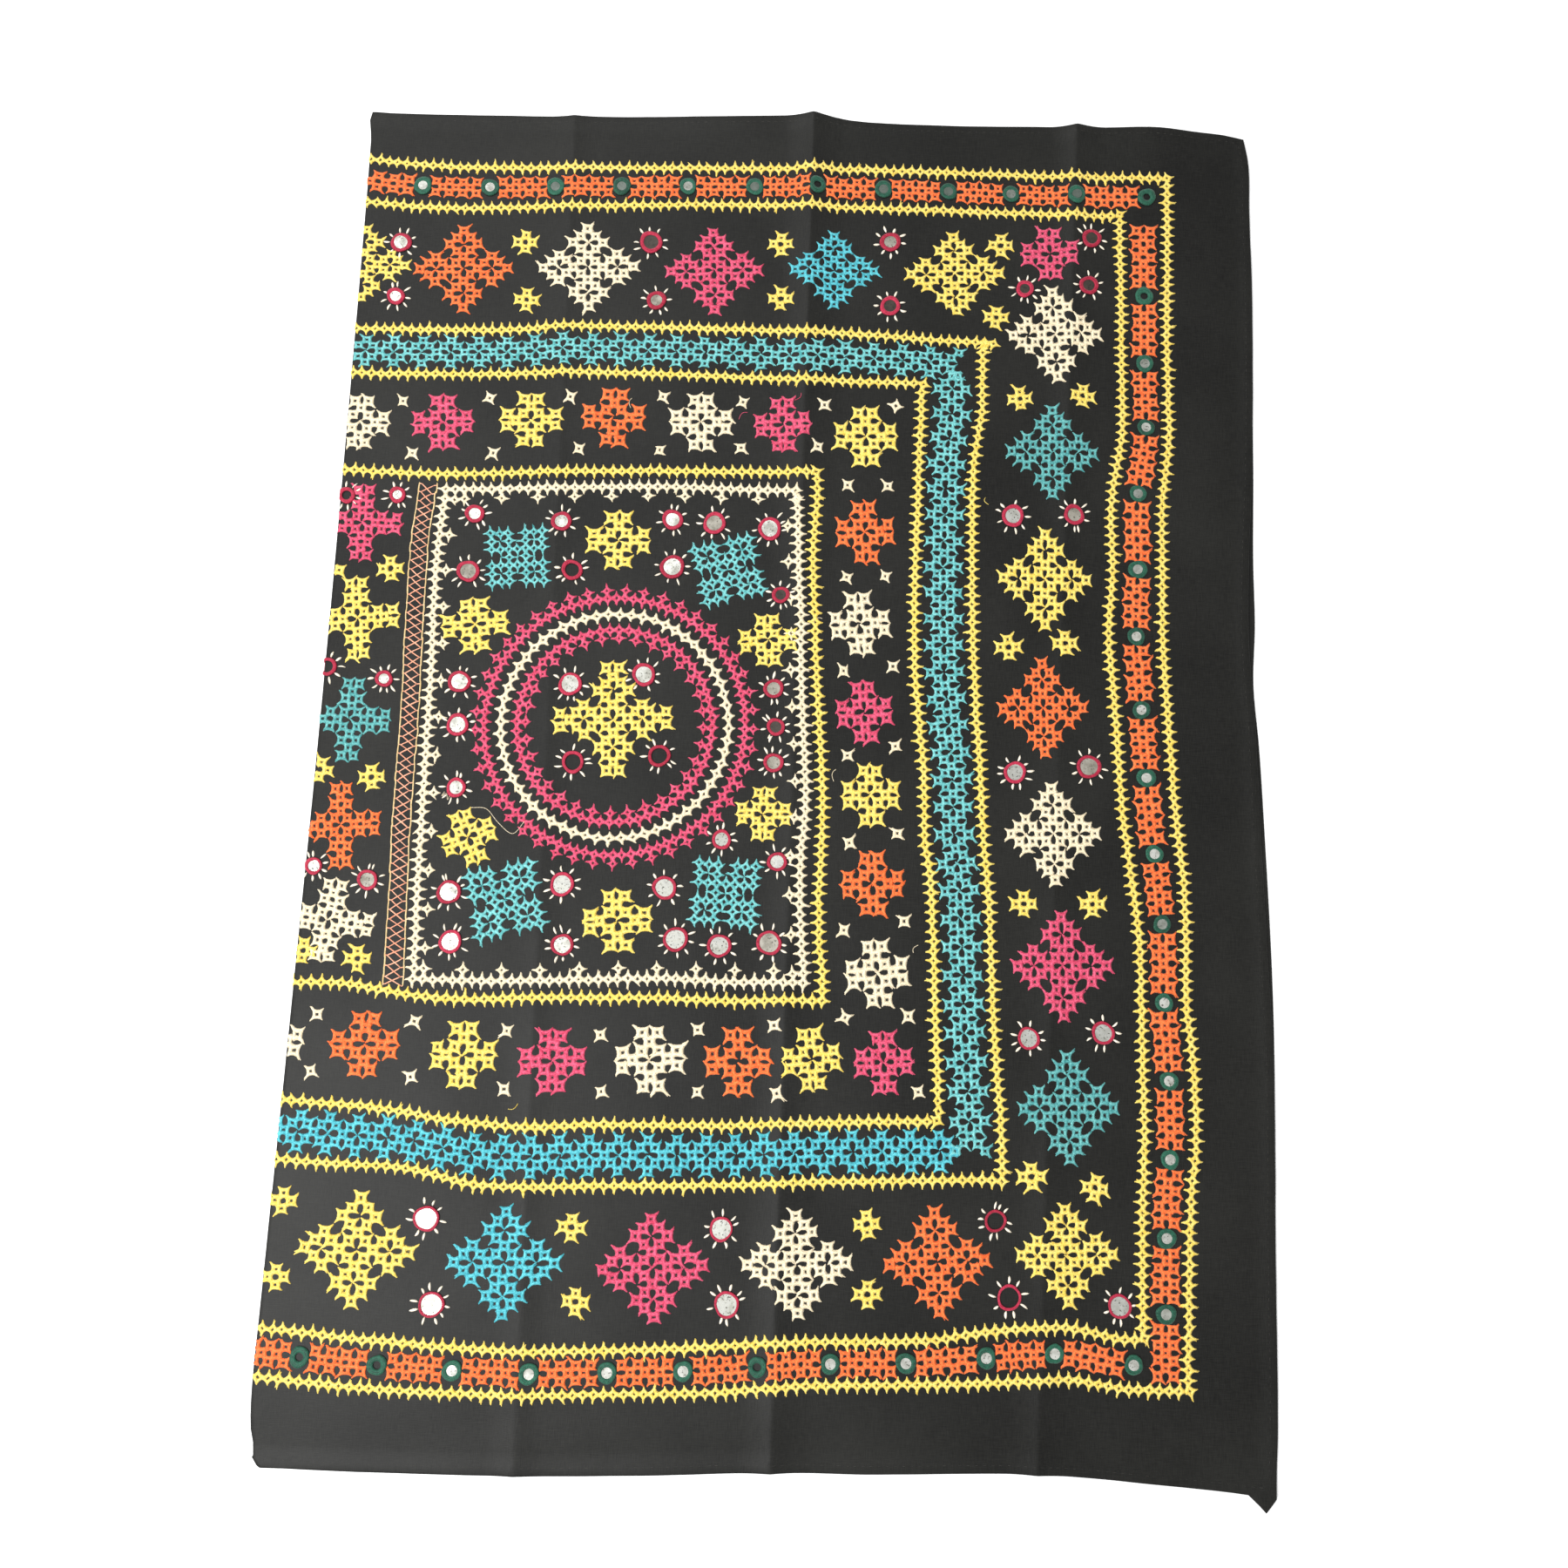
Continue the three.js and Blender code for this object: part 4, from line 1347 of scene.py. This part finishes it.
def glass_finish(name, tone, painted_reflection=False):
    """Old silvered glass: bright, with clouds and specks where the silver has gone, scaled by its tone's
    shade. For the grey and dark tones that shade is a painted reflection.
    """
    finish = Finish(name)
    place = finish.add("TexCoord").outputs["Object"]
    clouds = finish.ranged(finish.noise(place, 110, 3.0), 0.36, 0.64)
    specks = finish.ranged(finish.noise(place, 380, 2.0), 0.3, 0.42)
    # The tone's shade scales the silver's colours: painted reflection for the grey and dark tones
    shade = linear(tone.shade)
    light, dull, bare = (tuple(a * b for a, b in zip(linear(code), shade)) for code in SILVER_CODES)
    colour = finish.blend(specks, bare, finish.blend(clouds, dull, light))
    # Painted reflection: each piece's tint mixes its glass toward the shaded glass colour
    if painted_reflection:
        own = finish.add("Attribute", attribute_name="tint").outputs["Fac"]
        colour = finish.blend(own, linear(SHADED_GLASS), colour)
    finish.set(Base_Color=colour, Metallic=tone.metal)
    finish.set(Roughness=finish.ranged(clouds, 0.0, 1.0, tone.rough, tone.smooth))
    finish.bump(clouds, 0.08, 0.0003)
    return finish.material


def floor_finish():
    """A pale even floor with a faint change of tone."""
    finish = Finish("pale_floor")
    place = finish.add("TexCoord").outputs["Object"]
    broad = finish.noise(place, 1.5)
    finish.set(Base_Color=finish.blend(broad, linear("fafafa"), linear("ffffff")))
    finish.set(Roughness=0.9)
    return finish.material


# Properties


def colour_property(name, code):
    """A colour that a user may change, with a hexadecimal default."""
    return bpy.props.FloatVectorProperty(
        name=name,
        description="Colour of the " + name.lower(),
        default=linear(code),
        min=0,
        max=1,
        size=3,
        subtype="COLOR",
    )


def length_property(name, description, default):
    """A length that a user may change, with its default in millimetres."""
    return bpy.props.FloatProperty(
        name=name,
        description=description,
        default=default * MM,
        min=0,
        unit="LENGTH",
        subtype="DISTANCE",
    )


class BedspreadSizes(bpy.types.PropertyGroup):
    """Sizes that a user would change."""

    cloth_thickness: length_property("Cloth thickness", "Thickness of one layer of the cloth", CLOTH_THICK)
    stitch_height: length_property("Stitch height", "Height of a stitch over the cloth", 1.15)
    ring_height: length_property("Ring height", "Height of a mirror's ring over the cloth", RING_HIGH)
    seed: bpy.props.IntProperty(
        name="Hand",
        description="Number that the uneven sizes of the stitches are drawn from",
        default=11,
        min=0,
    )


class BedspreadColours(bpy.types.PropertyGroup):
    """Colours of the cloth and its threads."""

    cloth: colour_property("Cloth", "191917")
    yellow: colour_property("Yellow thread", "e2bc38")
    yellow_light: colour_property("Yellow thread's light tone", "f8e584")
    orange: colour_property("Orange thread", "e45418")
    orange_light: colour_property("Orange thread's light tone", "f98747")
    pink: colour_property("Pink thread", "b41f44")
    pink_light: colour_property("Pink thread's light tone", "ee6688")
    turquoise: colour_property("Turquoise thread", "1a8a98")
    turquoise_light: colour_property("Turquoise thread's light tone", "6cd5e0")
    teal: colour_property("Teal thread", "1a7a7c")
    teal_light: colour_property("Teal thread's light tone", "7ac5c1")
    aqua: colour_property("Pale turquoise thread", "228b8d")
    aqua_light: colour_property("Pale turquoise thread's light tone", "90dddb")
    cream: colour_property("Cream thread", "dccba4")
    cream_light: colour_property("Cream thread's light tone", "f5e7cb")
    red: colour_property("Red ring", "900c2a")
    red_light: colour_property("Red ring's light tone", "b92848")
    green: colour_property("Green ring", "0c3a2b")
    green_light: colour_property("Green ring's light tone", "1f5f49")
    ladder: colour_property("Herringbone thread", "ea9474")
    ladder_line: colour_property("Herringbone's side line", "dcb676")


# Operators

# The floor lies a little under the cloth, so that the two never share a plane
FLOOR_GAP = 0.0003
WORLD_STRENGTH = 0.62

# Square lights aimed at the middle of the cloth, with place and side in metres and power in watts
Lamp = namedtuple("Lamp", "name place side power")
LAMPS = [
    Lamp("window", (-1.35, -1.0, 2.4), 1.3, 84),
    Lamp("fill", (-1.2, 1.5, 2.3), 2.0, 46),
]


class BedspreadOperator(bpy.types.Operator):
    """Common ground of the bedspread's operators."""

    bl_options = {"REGISTER", "UNDO"}

    @classmethod
    def poll(cls, context):
        return hasattr(context.scene, "bedspread_sizes")

    def execute(self, context):
        self.build(context.scene.bedspread_sizes, context.scene.bedspread_colours)
        return {"FINISHED"}


class BEDSPREAD_OT_stage(BedspreadOperator):
    """Adds the floor, the soft studio light and the camera over the bedspread"""

    bl_idname = "bedspread.stage"
    bl_label = "Stage"

    floor_side: bpy.props.FloatProperty(
        name="Floor side",
        description="Length of each side of the floor",
        default=14.0,
        min=0,
        unit="LENGTH",
        subtype="DISTANCE",
    )
    camera_place: bpy.props.FloatVectorProperty(
        name="Camera place",
        description="Where the camera stands",
        default=(-0.01056, -0.2056, 1.2697),
        size=3,
        subtype="TRANSLATION",
    )
    camera_turn: bpy.props.FloatVectorProperty(
        name="Camera turn",
        description="The camera's turns about X, Y and Z",
        default=(math.radians(7.59), math.radians(-0.52), math.radians(1.70)),
        size=3,
        subtype="EULER",
    )
    focal_length: bpy.props.FloatProperty(
        name="Focal length",
        description="The lens's focal length in millimetres",
        default=26.0,
        min=1,
        subtype="DISTANCE_CAMERA",
    )
    sensor_width: bpy.props.FloatProperty(
        name="Sensor width",
        description="The camera's sensor width in millimetres",
        default=36.0,
        min=1,
        subtype="DISTANCE_CAMERA",
    )

    def build(self, sizes, colours):
        scene = bpy.context.scene
        self.add_floor(scene)
        self.add_camera(scene)
        self.add_lights(scene)
        scene.view_settings.view_transform = "Standard"
        scene.view_settings.look = "None"

    def add_floor(self, scene):
        bm = bmesh.new()
        bmesh.ops.create_grid(bm, x_segments=2, y_segments=2, size=self.floor_side / 2)
        bmesh.ops.translate(bm, verts=bm.verts, vec=(0, 0, -FLOOR_GAP))
        mesh = bpy.data.meshes.new("floor")
        bm.to_mesh(mesh)
        bm.free()
        mesh.materials.append(floor_finish())
        floor = bpy.data.objects.new("floor", mesh)
        scene.collection.objects.link(floor)

    def add_camera(self, scene):
        data = bpy.data.cameras.new("camera")
        data.lens = self.focal_length
        data.sensor_width = self.sensor_width
        camera = bpy.data.objects.new("camera", data)
        scene.collection.objects.link(camera)
        x, y, z = self.camera_turn
        turn = Matrix.Rotation(z, 4, "Z") @ Matrix.Rotation(y, 4, "Y") @ Matrix.Rotation(x, 4, "X")
        camera.matrix_world = Matrix.Translation(self.camera_place) @ turn
        scene.camera = camera

    def add_lights(self, scene):
        world = bpy.data.worlds.new("studio")
        world.use_nodes = True
        background = world.node_tree.nodes["Background"].inputs
        background["Color"].default_value = (1, 1, 1, 1)
        background["Strength"].default_value = WORLD_STRENGTH
        scene.world = world
        for lamp in LAMPS:
            data = bpy.data.lights.new(lamp.name, "AREA")
            data.shape = "SQUARE"
            data.size = lamp.side
            data.energy = lamp.power
            light = bpy.data.objects.new(lamp.name, data)
            scene.collection.objects.link(light)
            aim = (-Vector(lamp.place)).to_track_quat("-Z", "Y").to_matrix().to_4x4()
            light.matrix_world = Matrix.Translation(lamp.place) @ aim


# The cloth's grid: columns across each crease as shares of its reach, closest at its crest, columns
# between creases, rows between the hems, and a hem's own lines as distances from its edge
CREASE_SHARES = np.concatenate(
    [np.linspace(-1, -0.25, 7), np.linspace(-0.18, 0.18, 9), np.linspace(0.25, 1, 7)]
)
PANEL_COLUMNS = 11
ROWS_BETWEEN_HEMS = 118
HEM_COLUMNS = (HEM_WIDE + HEM_STEP, HEM_WIDE, 2.0, 0.6, 0.0)
HEM_EASE = 0.1
OUTERMOST = 0.3


def column_shares():
    """The cloth's columns as shares of the way over, at the near hem and at the far one."""
    first_far, last_far = FOLD[-1][1], UPPER_EDGE[-1][1]
    first_near, last_near = FOLD[0][1], UPPER_EDGE[0][1]
    wide = last_far - first_far
    stops = [np.array([FOLD_ROOM / wide] * 2)]
    for crease in CREASES:
        off = np.where(CREASE_SHARES < 0, crease.left_wide, crease.right_wide) * CREASE_SHARES
        near = (crease.near_across + off - first_near) / (last_near - first_near)
        far = (crease.far_across + off - first_far) / wide
        block_of = np.stack([near, far], -1)
        between = np.linspace(stops[-1], block_of[0], PANEL_COLUMNS + 2)[1:-1]
        stops += [*between, *block_of]
    hem = [np.array([1 - inset / wide] * 2) for inset in HEM_COLUMNS]
    stops += [*np.linspace(stops[-1], hem[0], PANEL_COLUMNS + 2)[1:-1], *hem]
    return np.array(stops)


def row_shares():
    """The cloth's rows as shares of the way up."""
    long = FOLD[-1][0] - FOLD[0][0]
    ends = np.array(HEM_COLUMNS[::-1]) / long
    middle = np.linspace(ends[-1], 1 - ends[-1], ROWS_BETWEEN_HEMS + 1)[1:-1]
    return np.concatenate([ends, middle, 1 - ends[::-1]])


def hem_rise(count, both_ends):
    """How far a hem stands over the field, for each row or column from its edge inwards."""
    rise = np.zeros(count)
    edge = np.array([0, HEM_RISE, HEM_RISE, HEM_RISE - HEM_EASE, HEM_RISE - HEM_ROLL])
    rise[-len(edge) :] = edge
    if both_ends:
        rise[: len(edge)] = edge[::-1]
    return rise


def cloth_stations():
    """Places of the cloth's right side, row by row, from the under edge round the fold to the upper."""
    columns = column_shares()
    rows = row_shares()
    up = rows[:, None]
    over = mix(columns[None, :, 0], columns[None, :, 1], up)
    up = np.broadcast_to(up, over.shape)
    hem_over = hem_rise(len(columns), False)[None, :]
    hem_up = hem_rise(len(rows), True)[:, None]
    hem = np.maximum(hem_over, hem_up)
    wide = UPPER_EDGE[0][1] - FOLD[0][1]
    long = FOLD[-1][0] - FOLD[0][0]
    outer = (over > 1 - OUTERMOST / wide) | (np.abs(up - 0.5) > 0.5 - OUTERMOST / long)
    hem = np.where(outer, HEM_RISE - HEM_ROLL, hem)
    upper = layer_plan(UPPER_EDGE, over, up)
    top = top_of_cloth(upper[..., 0], upper[..., 1]) + hem
    under = layer_plan(UNDER_EDGE, over, up)
    below = np.where(hem > 0, 0.0, UNDER_FIELD)
    upper_points = np.concatenate([upper, top[..., None]], -1)
    under_points = np.concatenate([under, below[..., None]], -1)[:, ::-1]
    start = upper_points[:, 0]
    radius = start[:, 2] / 2
    centre = fold_at(start[:, 1]) + radius
    turn = math.pi * (1.5 - np.arange(1, FOLD_STEPS) / FOLD_STEPS)
    ring = np.stack(
        [
            centre[:, None] + radius[:, None] * np.cos(turn),
            np.broadcast_to(start[:, 1, None], (len(rows), FOLD_STEPS - 1)),
            radius[:, None] * (1 + np.sin(turn)),
        ],
        -1,
    )
    return np.concatenate([under_points, ring, upper_points], 1) * MM


class BEDSPREAD_OT_cloth(BedspreadOperator):
    """Adds the folded cotton cloth with its turned hem, in place of the plain cover"""

    bl_idname = "bedspread.cloth"
    bl_label = "Cloth"

    def build(self, sizes, colours):
        stations = cloth_stations()
        rows, columns, _ = stations.shape
        bm = bmesh.new()
        bmesh.ops.create_grid(bm, x_segments=columns - 1, y_segments=rows - 1, size=1)
        for vert in bm.verts:
            column = round((vert.co.x + 1) / 2 * (columns - 1))
            row = round((vert.co.y + 1) / 2 * (rows - 1))
            vert.co = stations[row, column]
        for face in bm.faces:
            face.smooth = True
        mesh = bpy.data.meshes.new("folded_cloth")
        bm.to_mesh(mesh)
        bm.free()
        piece = add_piece("folded_cloth", mesh, "cloth", cloth_finish(tuple(colours.cloth)))
        solid = piece.modifiers.new("thickness", "SOLIDIFY")
        solid.thickness = sizes.cloth_thickness
        solid.offset = -1
        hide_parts("cover")


class BEDSPREAD_OT_stitches(BedspreadOperator):
    """Adds the interlaced stitches: chains, bands, motifs and the circle"""

    bl_idname = "bedspread.stitches"
    bl_label = "Interlaced stitches"

    def build(self, sizes, colours):
        threads = {
            colour: thread_of(colours, colour, colour + "_thread", slot_share=SLOT_SHADE)
            for colour in STITCH_THREADS
        }
        outer = (OUTER_FAR, OUTER_SIDE, OUTER_NEAR)
        inner = (INNER_FAR, INNER_SIDE, INNER_NEAR)
        square = (SQUARE_FAR, SQUARE_SIDE, SQUARE_NEAR)
        motifs = motif_cells()
        circle_pink = round_chain(OUTER_ROUND) + round_chain(INNER_ROUND)
        band_aqua, band_turquoise = turquoise_band()
        outer_cells = yellow_chains(outer, (("outer", 1), ("outer_inside", -1)))
        inner_cells = yellow_chains(inner, (("inner", 1), ("inner_inside", -1)))
        inner_cells += yellow_chains(square, (("square", 0),))
        cream_cells = motifs["cream"] + round_chain(CREAM_ROUND) + cream_square()
        for name, cells, slot, colour, fill in (
            ("yellow_chains_outer", outer_cells, "thread_yellow", "yellow", 1),
            ("yellow_chains_inner", inner_cells, "thread_yellow", "yellow", 1),
            ("yellow_motifs", motifs["yellow"], "thread_yellow", "yellow", 1),
            ("orange_stitches", motifs["orange"] + orange_blocks(), "thread_orange", "orange", 0.95),
            ("pink_stitches", motifs["pink"] + circle_pink, "thread_pink", "pink", 1),
            ("turquoise_stitches", motifs["turquoise"] + band_turquoise, "thread_blue", "turquoise", 0.88),
            ("teal_stitches", motifs["teal"], "thread_blue", "teal", 0.85),
            ("aqua_stitches", motifs["aqua"] + band_aqua, "thread_blue", "aqua", 0.8),
            ("cream_stitches", cream_cells, "thread_cream", "cream", 1),
        ):
            seed = sizes.seed + len(name)
            mesh = stitch_mesh(name, cells, sizes.stitch_height / MM, fill, seed)
            add_piece(name, mesh, slot, threads[colour])


class BEDSPREAD_OT_mirrors(BedspreadOperator):
    """Finishes the mirrors and adds their rings of stitches and the rays round them"""

    bl_idname = "bedspread.mirrors"
    bl_label = "Mirrors and rings"

    def build(self, sizes, colours):
        glass = {
            tone: glass_finish(tone + "_glass", GLASS_TONES[tone]) for tone in ("bright", "grey", "dark")
        }
        for node in mirror_nodes():
            mesh = bpy.data.objects[node].data
            mesh.materials.clear()
            mesh.materials.append(glass[glass_tone(node)])
        spots = mirror_spots() + BARE_RINGS
        high = sizes.ring_height / MM
        rng = np.random.default_rng(sizes.seed)
        rings = [(x, y, r - RING_IN, ring_reach(y, r), high, rng.uniform(0, 1)) for x, y, r in spots]
        red = thread_of(colours, "red", "red_ring_thread", RING_TWIST, RING_THREADS)
        add_piece("red_rings", ring_mesh("red_rings", rings, sizes.seed), "thread_red", red)
        rays = strands("cream_rays", ray_rows(spots, sizes.seed + 1))
        cream = thread_finish("ray_thread", tuple(colours.cream_light), linear(RAY_LIGHT), RAY_TWIST)
        add_piece("cream_rays", rays, "thread_cream", cream)
        self.add_green(sizes, colours)

    def add_green(self, sizes, colours):
        """The small green-ringed mirrors of the orange band, as one piece of glass and one of thread."""
        rng = np.random.default_rng(sizes.seed + 2)
        rings = []
        discs = []
        high = sizes.ring_height / MM * GREEN_SHARE_HIGH
        for border in BORDERS:
            middle = through([row[:2] for row in border.rows])
            for place, bright in border.mirrors:
                spot = (place, float(middle(place)))
                if border.lengthwise:
                    spot = spot[::-1]
                inner = GREEN_GLASS - (GREEN_RIM if bright else GREEN_FILLED)
                reach = GREEN_REACH + rng.normal(0, GREEN_REACHES)
                rings.append((*spot, inner, reach, high, rng.uniform(0, 1)))
                if bright:
                    discs.append((*spot, bright))
        green = thread_of(colours, "green", "green_ring_thread", GREEN_TWIST, RING_THREADS)
        add_piece("green_rings", ring_mesh("green_rings", rings, sizes.seed + 3), "thread_green", green)
        bm = bmesh.new()
        bmesh.ops.create_cone(
            bm,
            segments=SMALL_SIDES,
            radius1=1,
            radius2=SMALL_BEVEL,
            depth=SMALL_THICK,
            cap_ends=True,
        )
        points, faces = template(bm)
        spots = np.array(discs)
        across = spots[:, 0, None] + GREEN_GLASS * points[:, 0]
        along = spots[:, 1, None] + GREEN_GLASS * points[:, 1]
        up = SMALL_GAP + points[:, 2] + SMALL_THICK / 2
        high = top_of_cloth(spots[:, 0], spots[:, 1])[:, None] + up
        placed = np.stack([across, along, high], -1) * MM
        # Each disc's tint is how bright its glass is painted, a painted reflection
        mesh = joined_mesh("small_mirrors", placed, faces, points[:, :2], {"tint": spots[:, 2]})
        mesh.polygons.foreach_set("use_smooth", np.zeros(len(mesh.polygons), bool))
        small = glass_finish("small_glass", GLASS_TONES["small"], painted_reflection=True)
        add_piece("small_mirrors", mesh, "mirror", small)


class BEDSPREAD_OT_strip(BedspreadOperator):
    """Adds the herringbone strip beside the square"""

    bl_idname = "bedspread.strip"
    bl_label = "Herringbone strip"

    def build(self, sizes, colours):
        lines, crosses = ladder_rows()
        line = thread_finish("strip_line_thread", tuple(colours.ladder_line), linear(STRIP_LINE_LIGHT))
        cross = thread_finish("strip_cross_thread", tuple(colours.ladder), linear(STRIP_CROSS_LIGHT))
        add_piece("strip_lines", strands("strip_lines", lines), "thread_yellow", line)
        add_piece("strip_crosses", strands("strip_crosses", crosses), "thread_orange", cross)


class BEDSPREAD_OT_loose(BedspreadOperator):
    """Adds the hem's running stitches and the loose ends of thread"""

    bl_idname = "bedspread.loose"
    bl_label = "Hem stitches and loose ends"

    def build(self, sizes, colours):
        black = thread_finish("black_thread", tuple(colours.cloth), linear(BLACK_LIGHT))
        add_piece("hem_stitches", strands("hem_stitches", hem_rows()), "cloth", black)
        for colour, rows in loose_rows().items():
            name = "loose_" + colour
            material = thread_of(colours, colour, name + "_thread")
            add_piece(name, strands(name, rows, bury=0.0), "thread_" + colour, material)


class BEDSPREAD_PT_panel(bpy.types.Panel):
    """Lists the bedspread's operators, sizes and colours"""

    bl_label = "Bedspread"
    bl_idname = "BEDSPREAD_PT_panel"
    bl_space_type = "VIEW_3D"
    bl_region_type = "UI"
    bl_category = "Bedspread"

    def draw(self, context):
        layout = self.layout
        for operator in OPERATORS:
            layout.operator(operator.bl_idname)
        for group in (context.scene.bedspread_sizes, context.scene.bedspread_colours):
            box = layout.box()
            for key in group.__annotations__:
                box.prop(group, key)


OPERATORS = (
    BEDSPREAD_OT_stage,
    BEDSPREAD_OT_cloth,
    BEDSPREAD_OT_stitches,
    BEDSPREAD_OT_mirrors,
    BEDSPREAD_OT_strip,
    BEDSPREAD_OT_loose,
)
CLASSES = (BedspreadSizes, BedspreadColours, *OPERATORS, BEDSPREAD_PT_panel)


def register():
    for cls in CLASSES:
        bpy.utils.register_class(cls)
    bpy.types.Scene.bedspread_sizes = bpy.props.PointerProperty(type=BedspreadSizes)
    bpy.types.Scene.bedspread_colours = bpy.props.PointerProperty(type=BedspreadColours)


def unregister():
    del bpy.types.Scene.bedspread_colours
    del bpy.types.Scene.bedspread_sizes
    for cls in reversed(CLASSES):
        bpy.utils.unregister_class(cls)


def main():
    register()
    for operator in OPERATORS:
        group, name = operator.bl_idname.split(".")
        getattr(getattr(bpy.ops, group), name)()
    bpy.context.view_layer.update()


if __name__ == "__main__":
    main()
